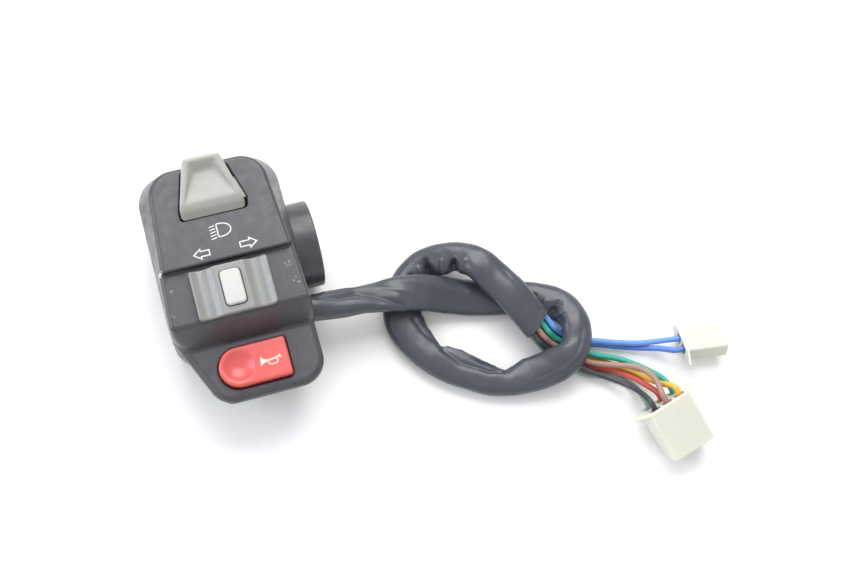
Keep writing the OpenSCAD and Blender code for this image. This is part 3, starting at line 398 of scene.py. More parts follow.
NYLON_FINISH = Finish(
    "milky_nylon", (0.69, 0.69, 0.60), roughness=0.5, specular=0.3, mottle=0.02, grain=0.02, subsurface=0.6,
    transmission=0.12,
)
# Darker copy of the milky nylon for the two-way connector: painted shade that holds down the light on its
# brightly lit top face.
SHADED_NYLON_FINISH = Finish(
    "nylon_painted_shade", (0.62, 0.63, 0.56), roughness=0.5, specular=0.3, mottle=0.03, grain=0.02, subsurface=0.6,
    transmission=0.12,
)
MARK_FINISH = Finish("pad_print", (0.58, 0.60, 0.64), roughness=0.6, mottle=0.15, mottle_scale=900.0)
HORN_MARK_FINISH = Finish("pad_print_pale", (0.88, 0.60, 0.52), roughness=0.6, mottle=0.1, mottle_scale=900.0)
LEAD_FINISH = Finish("lead_cover", (0.07, 0.075, 0.09), roughness=0.5)


@dataclass
class CarvedPiece(ABC):
    """Moulded piece given by a field, meshed on a grid and drawn onto the field's surface."""

    node: str
    body: Body
    slot: Slot
    finish: Finish
    low: Point
    high: Point
    step: float
    passes: ClassVar[int] = 3
    reach: ClassVar[float] = 0.6
    probe: ClassVar[float] = 0.03

    @abstractmethod
    def form(self, p: Grid) -> Array:
        """Return the field at points in millimetres."""

    def placed(self, points: Array) -> Array:
        """Return points or directions of the form turned as the piece lies."""
        return points

    def origin(self) -> Array:
        """Return the place of the form's own origin."""
        return np.zeros(3)

    def wear(self, points: Array, normals: Array) -> Array | None:
        """Return how worn each vertex is, or None for a piece without wear."""
        return None

    def build(self) -> Object:
        """Return the finished piece in place of its CAD node.

        Returns:
            The piece's object.
        """
        points, quads = self._net()
        points, normals = self._drawn(points)
        obj = quad_mesh(self.node + "_skin", self.placed(points) + self.origin(), quads, self.placed(normals))
        worn = self.wear(points, normals)
        if worn is not None:
            point_values(obj, "wear", worn)
        return settle(obj, self.finish, self.body, self.slot.value, self.node)

    def _net(self) -> tuple[Array, Array]:
        """Return vertices and quads of a surface net over the grid.

        Returns:
            Vertices in millimetres, and four vertex numbers for each quad.
        """
        axes = [np.arange(a - 2 * self.step, b + 3 * self.step, self.step) for a, b in zip(self.low, self.high)]
        grid = np.meshgrid(*axes, indexing="ij", sparse=True)
        values = np.broadcast_to(self.form(grid), [len(a) for a in axes])
        inside = values < 0
        count = np.zeros([n - 1 for n in inside.shape], dtype=np.int8)
        corners = [(i, j, k) for i in (0, 1) for j in (0, 1) for k in (0, 1)]
        for i, j, k in corners:
            count += inside[i : inside.shape[0] - 1 + i, j : inside.shape[1] - 1 + j, k : inside.shape[2] - 1 + k]
        active = (count > 0) & (count < len(corners))
        cells = np.argwhere(active)
        number = np.full(active.shape, -1, dtype=np.int64)
        number[active] = np.arange(len(cells))
        at = {c: values[tuple((cells + c).T)] for c in corners}
        total, crossings = np.zeros((len(cells), 3)), np.zeros(len(cells))
        for a in corners:
            for axis in range(3):
                if a[axis]:
                    continue
                b = tuple(1 if n == axis else a[n] for n in range(3))
                crossed = (at[a] < 0) != (at[b] < 0)
                share = np.where(crossed, at[a] / np.where(crossed, at[a] - at[b], 1), 0)
                spot = np.array(a, dtype=float) + np.eye(3)[axis] * share[:, None]
                total += spot * crossed[:, None]
                crossings += crossed
        points = (cells + total / crossings[:, None]) * self.step + [a[0] for a in axes]
        return points, self._quads(inside, number)

    def _quads(self, inside: Array, number: Array) -> Array:
        """Return a quad round each grid edge that crosses the surface.

        Args:
            inside: Grid points inside the form.
            number: Vertex number of each cell.

        Returns:
            Four vertex numbers for each quad.
        """
        found = []
        for axis in range(3):
            first, second = (axis + 1) % 3, (axis + 2) % 3
            here = [slice(1, -1)] * 3
            there = [slice(1, -1)] * 3
            here[axis], there[axis] = slice(0, -1), slice(1, None)
            starts_in, ends_in = inside[tuple(here)], inside[tuple(there)]
            spots = np.argwhere(starts_in != ends_in)
            outward = starts_in[tuple(spots.T)]
            ring = []
            for u, v in ((0, 0), (1, 0), (1, 1), (0, 1)):
                cell = spots.copy()
                cell[:, first] += u
                cell[:, second] += v
                ring.append(number[tuple(cell.T)])
            quads = np.stack(ring, axis=1)
            quads[~outward] = quads[~outward][:, ::-1]
            found.append(quads)
        return np.concatenate(found)

    def _drawn(self, points: Array) -> tuple[Array, Array]:
        """Return vertices moved onto the surface, and the field's normals there.

        Args:
            points: Vertices of the net.

        Returns:
            The moved vertices, and a normal for each.
        """
        for _ in range(self.passes):
            slope = self._slope(points)
            away = self.form(points.T)[:, None] / np.maximum((slope * slope).sum(1, keepdims=True), 0.25)
            points = points - slope * np.clip(away, -self.reach * self.step, self.reach * self.step)
        return points, unit(self._slope(points))

    def _slope(self, points: Array) -> Array:
        """Return the field's gradient at points.

        Args:
            points: Places to look at.

        Returns:
            One gradient for each place.
        """
        columns = []
        for shift in np.eye(3) * self.probe:
            columns.append((self.form((points + shift).T) - self.form((points - shift).T)) / (2 * self.probe))
        return np.stack(columns, axis=1)


@dataclass
class HousingHalf(CarvedPiece):
    """Sizes and forms that the two housing halves share."""

    left: float = -21.2
    right: float = 21.8
    up: float = 27.8
    down: float = -28.0
    wall: float = 2.2
    bar_r: float = 11.1
    collar_r: float = 13.7
    collar_end: float = 29.0
    shoulder_z: float = 15.0
    panel_z: float = 24.5
    set_in: float = 2.8
    taper: float = 4.6
    pod_down: float = -45.5
    pod_up: float = -23.0
    exit_y: float = -20.5
    exit_r: float = 4.6
    exit_x: float = 15.4
    screw_y: float = 18.0
    boss_r: float = 5.8
    corner: float = 10.0
    corner_lost: float = 3.0
    pod_left: Pair = (-11.3, -21.0)
    pod_right: float = 21.4
    web_half: float = 5.0
    rib_x: Pair = (16.4, 18.2)
    gate_x: Pair = (5.8, 10.4)

    def side(self, p: Grid) -> Array:
        """Return the field inside the body's outline, which draws in above the shoulder.

        Args:
            p: Places to look at.

        Returns:
            The field.
        """
        x, y, z = p
        s = np.clip((z - self.shoulder_z) / (self.panel_z - self.shoulder_z), 0, 1.05)
        top = y - (self.up - self.set_in * s)
        low_in, high_in = 0.2 * s, self.taper * s
        rise = self.up - self.set_in * s - self.down
        lean = (high_in - low_in) / rise
        inward = low_in + (y - self.down) * lean
        square = np.sqrt(1 + lean * lean)
        right = (x - self.right + inward) / square
        left = (self.left + inward - x) / square
        bottom = self.down - y
        corner = self.corner - self.corner_lost * s
        on_right = round_both(round_both(right, top, corner), bottom, 4.0)
        on_left = round_both(round_both(left, top, corner), bottom, 8.0)
        return np.where(x > 0, on_right, on_left)

    def pod_side(self, x: Array, y: Array) -> Array:
        """Return the field inside the pod's outline.

        Args:
            x: Places along the bar.
            y: Places up the face.

        Returns:
            The field.
        """
        slant = -beside(x, y, (self.pod_left[0], self.pod_down), (self.pod_left[1], self.pod_up))
        low = round_both(round_both(x - self.pod_right, self.pod_down - y, 8.0), slant, 4.5)
        return np.maximum(low, y - self.pod_up)

    def collar(self, p: Grid) -> Array:
        """Return the field of the round collar.

        Args:
            p: Places to look at.

        Returns:
            The field.
        """
        x, y, z = p
        rim = round_both(np.hypot(y, z) - self.collar_r, x - self.collar_end, 0.7)
        return np.maximum(rim, self.right - self.wall - x)

    def bored(self, shape: Array, p: Grid) -> Array:
        """Return the shape with the handlebar's bore, the sleeve's way out and the lead gate cut.

        Args:
            shape: Field to cut.
            p: Places to look at.

        Returns:
            The cut field.
        """
        x, y, z = p
        shape = round_cut(shape, np.hypot(y, z) - self.bar_r, 0.4)
        leaving = np.maximum(np.hypot(y - self.exit_y, z) - self.exit_r, self.exit_x - x)
        gate_y = (self.down - 1, self.down + self.wall + 1)
        gate = block(p, self.gate_x, gate_y, (-self.wall, self.wall))
        return np.maximum(round_cut(shape, leaving, 0.35), -gate)

    def webs(self, p: Grid, z0: float, z1: float) -> Array:
        """Return the field of the webs, screw bosses and sleeve rib from z0 to z1.

        Args:
            p: Places to look at.
            z0: Where they start.
            z1: Where they end.

        Returns:
            The field.
        """
        x, y, z = p
        height = slab(z, z0, z1)
        mid_wall = self.wall / 2
        web = np.maximum(np.abs(x) - self.web_half, slab(y, self.down + mid_wall, self.up - mid_wall))
        boss = np.hypot(x, np.abs(y) - self.screw_y) - self.boss_r
        rib = np.maximum(slab(x, *self.rib_x), slab(y, self.down + mid_wall, self.exit_y + 5.2))
        return np.maximum(either(web, boss, rib), height)


@dataclass
class FrontHousing(HousingHalf):
    """Front half with the panel, the slider's band, the horn's pod and half the collar."""

    band_z: float = 21.9
    panel_low: float = -5.3
    slope_top: Pair = (-22.1, 21.9)
    slope_foot: Pair = (-27.6, 12.25)
    pod_z: float = 12.25
    rocker_y: float = 16.5
    opening_y: Point = (8.6, 11.8, 23.8)
    opening_right: Point = (10.1, 10.67, 7.16)
    opening_left: Point = (10.1, 9.95, 6.74)
    post_r: float = 2.6
    cradle_post: Point = (15.2, 14.61, 23.0)
    turn_post: Point = (16.0, 13.88, 20.4)
    rub: float = 0.30
    chip_rub: float = 0.25
    chips: Sequence[tuple[float, float, float, float]] = (
        (-19.6, -4.9, 1.2, 0.62), (-17.2, -11.0, 3.0, 0.34), (-18.6, -18.5, 3.4, 0.36),
        (17.6, -10.0, 3.2, 0.42), (18.6, -16.5, 3.0, 0.38), (16.6, 9.0, 3.2, 0.36),
        (17.4, 2.6, 2.4, 0.36), (4.2, -23.6, 2.4, 0.30), (-12.0, 22.0, 2.4, 0.26),
    )

    def outer(self, p: Grid) -> tuple[Array, Array]:
        """Return the fields of the main body and of the pod, without openings.

        Args:
            p: Places to look at.

        Returns:
            The two fields.
        """
        x, y, z = p
        slope = -beside(y, z, self.slope_foot, self.slope_top)
        panel = round_both(z - self.panel_z, self.panel_low - y, 0.45)
        band = round_both(z - self.band_z, slope, 0.9)
        main = round_both(self.side(p), round_join(panel, band, 0.3), 1.1)
        draft = POD_DRAFT * np.clip(1 - z / 10.05, 0, 1)
        pod = round_both(self.pod_side(x, y) + draft, z - self.pod_z, 2.2)
        return main, pod

    def openings(self, p: Grid) -> list[Array]:
        """Return the fields of the openings for the rocker, the slider and the horn.

        Args:
            p: Places to look at.

        Returns:
            One field for each opening.
        """
        x, y, z = p
        right = np.interp(y, self.opening_y, self.opening_right)
        left = np.interp(y, self.opening_y, self.opening_left)
        ends = slab(y, self.opening_y[0], self.opening_y[-1])
        rocker = np.maximum(round_both(np.maximum(x - right, -left - x), ends, 1.0), 21.0 - z)
        slot = block(p, (-8.3, 8.3), (TURN_Y - 3.6, TURN_Y + 3.6), (18.0, 24.0))
        horn = np.maximum(horn_outline(x, y) - 0.4, 9.0 - z)
        return [rocker, slot, horn]

    def form(self, p: Grid) -> Array:
        """Return the field of the front half.

        Args:
            p: Places to look at.

        Returns:
            The field.
        """
        main, pod = self.outer(p)
        shape = round_join(round_join(main, pod, 0.9), self.collar(p), 0.35)
        hollow = np.minimum(main, pod) + self.wall
        shape = either(np.maximum(shape, -hollow), self.webs(p, -1.0, 8.5), self.posts(p))
        for opening in self.openings(p):
            shape = round_cut(shape, opening, 0.3)
        return round_both(self.bored(shape, p), -p[2], 0.25)

    def posts(self, p: Grid) -> Array:
        """Return the field of the posts that carry the cradle and the boards.

        Args:
            p: Places to look at.

        Returns:
            The field.
        """
        x, y, z = p
        x_c, *z_c = self.cradle_post
        x_t, *z_t = self.turn_post
        cradle = post(np.abs(x) - x_c, y - self.rocker_y, z, self.post_r, *z_c)
        return np.minimum(cradle, post(np.abs(x) - x_t, y - TURN_Y, z, self.post_r, *z_t))

    def wear(self, points: Array, normals: Array) -> Array:
        """Return edge rub all over and stronger wear at the chipped places.

        Args:
            points: Vertices of the half.
            normals: Their normals.

        Returns:
            Wear of each vertex, 0 for none.
        """
        depth = 0.8
        rub = np.clip(1 + self.form((points - normals * depth).T) / depth, 0, 1)
        outside = np.minimum(*self.outer(points.T)) > -0.4
        worn = self.rub * rub
        for x, y, reach, amount in self.chips:
            near = np.exp(-((points[:, 0] - x) ** 2 + (points[:, 1] - y) ** 2) / reach**2)
            worn = np.maximum(worn, near * (amount + self.chip_rub * rub))
        return np.where(outside, worn, 0)


@dataclass
class RearHousing(HousingHalf):
    """Rear half with the clamp screws' counterbores, the pod's tray and half the collar."""

    rear_z: float = -14.5
    tray_z: float = -5.5
    seat_z: float = -7.0
    edge: float = 6.5
    hole_r: float = 2.06
    head_r: float = 4.0

    def form(self, p: Grid) -> Array:
        """Return the field of the rear half.

        Args:
            p: Places to look at.

        Returns:
            The field.
        """
        x, y, z = p
        main = round_both(self.side(p), self.rear_z - z, self.edge)
        drawn_in = POD_DRAFT + 0.6 * np.clip(-z / 3.3, 0, 1)
        tray = round_both(self.pod_side(x, y) + drawn_in, self.tray_z - z, 2.2)
        shape = round_join(round_join(main, tray, 0.8), self.collar(p), 0.35)
        shape = np.maximum(shape, -(np.minimum(main, tray) + self.wall))
        shape = np.minimum(shape, np.maximum(self.webs(p, self.rear_z, 1.0), main + self.wall / 2))
        screw = np.hypot(x, np.abs(y) - self.screw_y)
        shape = np.maximum(shape, -(screw - self.hole_r))
        shape = round_cut(shape, np.maximum(screw - self.head_r, z - self.seat_z), 0.3)
        return round_both(self.bored(shape, p), z, 0.25)


def horn_outline(x: Array, y: Array) -> Array:
    """Return the field inside the horn button's outline, round at the left and square at the right.

    Args:
        x: Places along the bar.
        y: Places up the face.

    Returns:
        The field.
    """
    square = round_both(x - HORN_RIGHT, np.abs(y - HORN_Y) - HORN_HALF, 0.9)
    centre = HORN_LEFT + HORN_HALF
    return np.where(x < centre, np.hypot(x - centre, y - HORN_Y) - HORN_HALF, square)


@dataclass
class BeamRocker(CarvedPiece):
    """Grey rocker with a thumb scoop between a raised tip and two cheeks."""

    ridge: Pair = (11.3, 28.2)
    tip: Pair = (25.3, 31.6)
    half_low: float = 9.6
    half_tip: float = 5.5
    pivot: Pair = (16.5, 20.5)
    half_foot: float = 7.4
    foot_y: Pair = (9.5, 19.9)
    foot_z: Pair = (18.8, 25.0)
    heel_y: Pair = (16.5, 21.8)
    front_foot: Pair = (9.1, 25.0)
    dish_z: float = 28.3
    dish_y: float = 12.2
    pin_bore_r: float = 1.25
    pin_inner_x: float = 5.2
    plunger_lean: float = 7.0
    plunger_bore_r: float = 1.55
    boss_r: float = 2.8

    def form(self, p: Grid) -> Array:
        """Return the field of the rocker.

        Args:
            p: Places to look at.

        Returns:
            The field.
        """
        x, y, z = p
        front = -beside(y, z, self.front_foot, self.ridge)
        top = -beside(y, z, self.ridge, self.tip)
        under = beside(y, z, (21.8, 26.2), (25.5, 29.4))
        lean = (self.half_low - self.half_tip) / (self.tip[0] - self.ridge[0])
        cheek = (np.abs(x) - self.half_low + np.maximum(y - self.ridge[0], 0) * lean) / math.hypot(1, lean)
        shape = round_both(round_both(front, top, 1.5), cheek, 1.0)
        shape = round_both(shape, y - self.tip[0] - 0.1, 1.3)
        shape = round_both(shape, np.maximum(under, 24.2 - z), 0.4)
        return self._footed(round_cut(shape, self._dish(p), 0.3), p)

    def _footed(self, shape: Array, p: Grid) -> Array:
        """Return the field with the foot, the plunger's boss and the bores for pins and plunger.

        Args:
            shape: Field of the cap.
            p: Places to look at.

        Returns:
            The whole field.
        """
        x, y, z = p
        across, rise = y - self.pivot[0], z - self.pivot[1]
        lean = math.radians(self.plunger_lean)
        v = across * math.cos(lean) + rise * math.sin(lean)
        w = rise * math.cos(lean) - across * math.sin(lean)
        foot = block(p, (-self.half_foot, self.half_foot), self.foot_y, self.foot_z)
        heel = block(p, (-self.half_tip, self.half_tip), self.heel_y, self.foot_z)
        shape = either(shape, foot, heel, post(x, v, w, self.boss_r, -3.0, -1.0))
        pins = np.maximum(np.hypot(across, rise) - self.pin_bore_r, self.pin_inner_x - np.abs(x))
        shape = np.maximum(shape, -pins)
        return np.maximum(shape, -post(x, v, w, self.plunger_bore_r, -4.0, 2.5))

    def _dish(self, p: Grid) -> Array:
        """Return the field of the thumb scoop.

        Args:
            p: Places to look at.

        Returns:
            The field.
        """
        x, y, z = p
        rise = np.clip((z - self.dish_z) / 3.6, -0.5, 1.2)
        half = (8.0 - (y - self.dish_y) * 0.548) * (1 - rise) + (9.2 - (y - self.dish_y) * 0.372) * rise
        cheek = (np.abs(x) - half) * 0.84
        far = beside(y, z, (21.5, self.dish_z), (24.3, 31.9))
        return round_both(round_both(far, cheek, 0.7), self.dish_z - z, 0.6)


@dataclass
class TurnSlider(CarvedPiece):
    """Slate slider with a thumb groove on each side of the cancel button."""

    half_x: float = 11.7
    half_y: float = 7.6
    base: float = 22.2
    top: float = 24.7
    groove_x: float = 8.0
    groove_r: float = 4.2
    groove_depth: float = 1.4
    pocket: Pair = (3.25, 5.6)
    leg_x: Pair = (4.0, 5.1)
    leg_y: Pair = (-3.4, 3.4)
    leg_low: float = 19.5

    def form(self, p: Grid) -> Array:
        """Return the field of the slider.

        Args:
            p: Places to look at.

        Returns:
            The field.
        """
        x, y, z = p
        outline = round_both(np.abs(x) - self.half_x, np.abs(y - TURN_Y) - self.half_y, 1.0)
        shape = round_both(outline, slab(z, self.base, self.top), 0.45)
        axis_z = self.top - self.groove_depth + self.groove_r
        groove = np.hypot(np.abs(x) - self.groove_x, z - axis_z) - self.groove_r
        shape = round_cut(shape, groove, 0.5)
        pocket = round_both(np.abs(x) - self.pocket[0], np.abs(y - TURN_Y) - self.pocket[1], 1.4)
        legs = block((np.abs(x), y - TURN_Y, z), self.leg_x, self.leg_y, (self.leg_low, self.base + 0.6))
        return np.minimum(round_cut(shape, pocket, 0.2), legs)


@dataclass
class CancelButton(CarvedPiece):
    """White button in the slider."""

    half_x: float = 3.05
    half_y: float = 5.4
    base: float = 23.3
    top: float = 25.9
    stem_r: float = 1.5
    stem_low: float = 15.9
    snap_r: float = 2.1
    snap: Pair = (15.6, 16.3)

    def form(self, p: Grid) -> Array:
        """Return the field of the button, a little crowned.

        Args:
            p: Places to look at.

        Returns:
            The field.
        """
        x, y, z = p
        outline = round_both(np.abs(x) - self.half_x, np.abs(y - TURN_Y) - self.half_y, 1.3)
        crown = self.top - 0.012 * (x * x + (y - TURN_Y) ** 2 * 0.3)
        cap = round_both(outline, np.maximum(z - crown, self.base - z), 0.65)
        stem = post(x, y - TURN_Y, z, self.stem_r, self.stem_low, self.base + 0.7)
        return either(cap, stem, post(x, y - TURN_Y, z, self.snap_r, *self.snap))


@dataclass
class HornButton(CarvedPiece):
    """Coral horn button with a round thumb dish."""

    top: float = 14.85
    base: float = 8.65
    flange_top: float = 9.85
    flange_out: float = 0.9
    boss_r: float = 2.2
    boss_low: float = 6.75
    dish_r: float = 4.7
    dish_depth: float = 1.7

    def form(self, p: Grid) -> Array:
        """Return the field of the button.

        Args:
            p: Places to look at.

        Returns:
            The field.
        """
        x, y, z = p
        side = horn_outline(x, y)
        cap = round_both(side, slab(z, self.base, self.top), 0.8)
        ball_r = (self.dish_r**2 + self.dish_depth**2) / (2 * self.dish_depth)
        ball_z = self.top - self.dish_depth + ball_r
        u, v = x - HORN_LEFT - HORN_HALF, y - HORN_Y
        ball = np.sqrt(u**2 + v**2 + (z - ball_z) ** 2) - ball_r
        flange = np.maximum(side - self.flange_out, slab(z, self.base, self.flange_top))
        boss = post(u, v, z, self.boss_r, self.boss_low, self.flange_top)
        return either(round_cut(cap, ball, 0.35), flange, boss)


@dataclass
class Connector(CarvedPiece):
    """Milky nylon connector, in a frame of its own with X along the terminals."""

    spot: Pair = (0.0, 0.0)
    turn: Point = (0.0, 0.0, 0.0)
    columns: Sequence[float] = ()
    rows: Sequence[float] = ()
    half_w: float = 5.2
    half_h: float = 2.7
    length: float = 14.4
    pitch: float = 4.6
    row_pitch: float = 5.2
    flange_out: float = 4.0
    flange_t: float = 1.0
    cavity: Pair = (1.7, 1.5)

    def _turn(self) -> Array:
        """Return the matrix of the roll, then the slope and then the heading.

        Returns:
            The rotation.
        """
        roll, slope, heading = (math.radians(a) for a in self.turn)
        turned = Matrix.Rotation(heading, 3, "Z") @ Matrix.Rotation(slope, 3, "Y") @ Matrix.Rotation(roll, 3, "X")
        return np.array(turned)

    def placed(self, points: Array) -> Array:
        """Return points or directions of the form turned as the connector lies."""
        return points @ self._turn().T

    def origin(self) -> Array:
        """Return the place of the wire face.

        Returns:
            The place in millimetres.
        """
        roll, slope, _ = (math.radians(a) for a in self.turn)
        below = self.half_w * abs(math.sin(roll)) + self.half_h * math.cos(roll)
        return np.array([*self.spot, TABLE_Z + 0.05 + self.length * math.sin(slope) + below * math.cos(slope)])

    def form(self, p: Grid) -> Array:
        """Return the field of the connector.

        Args:
            p: Places in the connector's own frame.

        Returns:
            The field.
        """
        x, y, z = p
        section = round_both(np.abs(y) - self.half_w, np.abs(z) - self.half_h, 0.6)
        shape = round_both(section, slab(x, 0.0, self.length), 0.35)
        lean = self.flange_out / self.half_h
        wing = (np.abs(y) - self.half_w - self.flange_out + np.abs(z) * lean) / math.hypot(1, lean)
        flange = round_both(np.maximum(wing, np.abs(z) - self.half_h), slab(x, 0.0, self.flange_t), 0.3)
        shape = round_join(shape, flange, 0.2)
        for column in self.columns:
            for row in self.rows:
                across = np.abs(y - column * self.pitch) - self.cavity[0]
                rise = np.abs(z - row * self.row_pitch) - self.cavity[1]
                shape = round_cut(shape, np.maximum(across, rise), 0.3)
        return shape


def smooth_route(points: Sequence[Point], steps: int) -> Array:
    """Return points along a smooth curve, with the given number of steps to a span.

    Args:
        points: Points that the curve goes through.
        steps: Steps to a span.

    Returns:
        Points of the curve.
    """
    p = np.array(points, dtype=float)
    padded = np.vstack([p[:1], p, p[-1:]])
    out = []
    for i in range(len(p) - 1):
        a, b, c, d = padded[i : i + 4]
        for t in np.arange(steps) / steps:
            bend = (2 * a - 5 * b + 4 * c - d) * t * t + (3 * b - a - 3 * c + d) * t**3
            out.append(0.5 * (2 * b + (c - a) * t + bend))
    out.append(p[-1])
    return np.array(out)


def frames(path: Array) -> tuple[Array, Array, Array]:
    """Return the direction, right side and upper side at each point of a path.

    Args:
        path: Points of the path.

    Returns:
        Three unit vectors for each point.
    """
    ahead = unit(np.gradient(path, axis=0))
    right = unit(np.cross(ahead, UP))
    return ahead, right, np.cross(right, ahead)


def length_of(path: Array) -> float:
    """Return the length of a path in its own units."""
    return float(np.linalg.norm(np.diff(path, axis=0), axis=1).sum())


def ring_quads(rings: int, around: int, capped: bool = False) -> Array:
    """Return the quads of a tube of rings.

    Args:
        rings: Number of rings.
        around: Points in each, an even number.
        capped: Whether the ends are closed.

    Returns:
        Four vertex numbers for each quad.
    """
    k, i = np.meshgrid(np.arange(rings - 1), np.arange(around), indexing="ij")
    j = (i + 1) % around
    quads = np.stack([k * around + i, (k + 1) * around + i, (k + 1) * around + j, k * around + j], axis=-1)
    quads = quads.reshape(-1, 4)
    if not capped:
        return quads
    i = np.arange(around // 2 - 1)
    cap = np.stack([i, i + 1, around - 2 - i, around - 1 - i], axis=1)
    return np.concatenate([quads, cap, cap[:, ::-1] + (rings - 1) * around])


def round_rings(path: Array, r: float, around: int) -> Array:
    """Return round rings of radius r along a path.

    Args:
        path: Centre line.
        r: Radius.
        around: Points in each ring.

    Returns:
        Points of each ring.
    """
    _, right, up = frames(path)
    angle = np.arange(around) * 2 * math.pi / around
    across = right[:, None, :] * np.cos(angle)[None, :, None] + up[:, None, :] * np.sin(angle)[None, :, None]
    return path[:, None, :] + across * r


@dataclass(frozen=True)
class Dent:
    """Pocket pressed into the sleeve, at a route point and an angle up from the right side."""

    at: float
    angle: float
    reach: float
    spread: float
    depth: float


@dataclass(frozen=True)
class Section:
    """Half widths to the right and left, thickness, roll and squareness of the sleeve at a route point."""

    at: float
    right: float
    left: float
    thick: float
    roll: float = 0.0
    power: float = 2.3


@dataclass(frozen=True)
class Fold:
    """Sharp fold along a line of route points and angles; a negative depth stands out."""

    line: Sequence[Pair]
    depth: float
    reach: float


@dataclass
class HarnessSleeve:
    """Soft flattened sleeve tied in one overhand knot, open at its far end."""

    low: float = TABLE_Z + 3.6
    high: float = TABLE_Z + 11.2
    width: float = 11.0
    skin: float = 0.8
    steps: int = 16
    around: int = 96
    end_back: float = 2.3
    free_from: float = 1.5
    pressed_from: float = 1.8
    ripple: float = 0.06
    sections: Sequence[Section] = tuple(Section(*row) for row in (
        (0.0, 4.3, 4.3, 8.6, 0, 2.0), (2.0, 4.4, 4.2, 8.4, 0, 2.0), (2.8, 4.6, 4.4, 7.0, 20),
        (3.6, 4.8, 5.2, 6.0, 26), (4.4, 5.6, 5.4, 5.6, 18), (5.2, 5.8, 5.8, 5.4, 0),
        (6.4, 6.0, 6.0, 5.2, -12), (7.5, 6.2, 5.6, 5.8, -10), (9.0, 5.7, 5.5, 6.6),
        (10.6, 5.4, 5.7, 7.0), (12.0, 4.4, 5.2, 7.0), (13.4, 4.6, 4.8, 6.8),
        (14.6, 6.6, 5.1, 6.4), (15.7, 6.6, 4.7, 6.4), (16.5, 3.8, 4.7, 6.8),
        (17.4, 5.8, 5.1, 6.4), (18.5, 6.8, 5.3, 6.2), (19.5, 4.8, 5.2, 6.8),
        (20.4, 6.6, 5.1, 6.2), (21.5, 7.4, 5.7, 6.0), (22.6, 6.4, 5.5, 6.4),
        (24.2, 5.8, 4.7, 6.8), (26.0, 5.6, 4.8, 6.8), (27.6, 5.0, 5.5, 6.8),
        (29.0, 5.6, 5.7, 6.8), (33.0, 5.4, 5.6, 7.0, 0, 2.2),
    ))
    dents: Sequence[Dent] = tuple(Dent(*row) for row in (
        (4.2, 100, 1.1, 34, 0.8), (6.6, 70, 1.2, 30, 0.5), (9.9, 46, 0.40, 34, 1.7),
        (10.9, 40, 0.36, 34, 1.9), (11.6, 24, 0.34, 30, 1.4), (17.6, 24, 0.9, 26, 0.8),
        (21.2, 24, 1.0, 24, 0.8), (23.6, 40, 0.42, 34, 1.6), (25.0, 44, 0.40, 36, 1.9),
        (26.7, 18, 0.30, 46, 2.6),
    ))
    folds: Sequence[Fold] = tuple(Fold(*row) for row in (
        (((2.0, 118), (2.8, 100), (3.4, 112), (4.3, 66), (5.0, 40)), 1.3, 3.0),
        (((2.3, 150), (3.2, 138), (4.4, 110), (5.6, 84)), -0.55, 2.4),
        (((5.2, 128), (6.4, 108), (7.6, 96)), -0.4, 2.6),
        (((9.6, 20), (9.9, 92)), 1.1, 1.8), (((10.8, 10), (11.0, 84)), 1.2, 1.8),
        (((10.3, 30), (10.45, 80)), -0.7, 1.6), (((11.3, 16), (11.5, 70)), -0.6, 1.5),
        (((13.2, 128), (14.4, 122), (15.6, 126)), 0.3, 1.6), (((12.6, 104), (14.2, 98), (15.4, 104)), 0.3, 1.6),
        (((16.3, 40), (17.2, 66), (18.4, 74), (19.3, 48)), 0.9, 1.8),
        (((16.6, 10), (16.45, 46)), 1.2, 1.4), (((17.0, 20), (18.2, 42), (19.2, 26)), -0.5, 1.8),
        (((19.4, 14), (20.3, 50), (21.6, 60), (22.6, 44)), 0.8, 2.0),
        (((23.4, 12), (23.8, 84)), 1.3, 1.8), (((24.9, 6), (25.1, 92)), 1.5, 1.8),
        (((24.2, 24), (24.5, 80)), -0.7, 1.7), (((25.9, 16), (26.0, 70)), -0.7, 1.5),
        (((26.6, -20), (26.7, 64)), 1.8, 1.6), (((27.3, 30), (27.4, 70)), -0.6, 1.5),
        (((29.0, 122), (30.4, 112), (31.8, 118)), 0.3, 2.2),
    ))

    def route(self) -> list[Point]:
        """Return the route's points, the same as the CAD solid's.

        Returns:
            Points in millimetres.
        """
        low, high = self.low, self.high
        return [
            (14, -20.5, 0), (20, -20.5, 0), (24, -20.5, 0), (33, -21.2, -1.4), (42, -21.4, high + 0.4),
            (50, -21.9, high), (58, -22.8, -5.6), (68, -25.3, -9.4), (77, -28, low), (86, -30.4, low),
            (95, -33.6, low + 0.9), (101.2, -38.4, -7.4), (103.4, -44.6, -5.4), (102.3, -51, -5),
            (98.5, -55.5, -5.2), (91, -57.8, -7.8), (81.5, -57.8, low + 0.8), (73.5, -55.5, low),
            (66.4, -51.2, low), (59.6, -46.2, low), (54.6, -40.5, low), (51.4, -34.2, low), (50.6, -27.4, low),
            (53.2, -20.4, low), (57.6, -15.2, low), (63, -12.7, -9.8), (68.8, -13, -7.6), (74.2, -15.2, -5.2),
            (78.4, -19, high + 0.2), (82.2, -24.6, high), (85.8, -30.6, high), (89, -36.8, -4.6),
            (90.7, -40, -5.7), (92.4, -43.2, -6.8),
        ]

    def end(self) -> tuple[Array, Array, Array, Array]:
        """Return the end point, and the direction, right side and upper side there.

        Returns:
            The point and three unit vectors.
        """
        last, before = np.array(self.route()[-1], dtype=float), np.array(self.route()[-2], dtype=float)
        ahead = unit(last - before)
        right = unit(np.cross(ahead, UP))
        return last, ahead, right, np.cross(right, ahead)

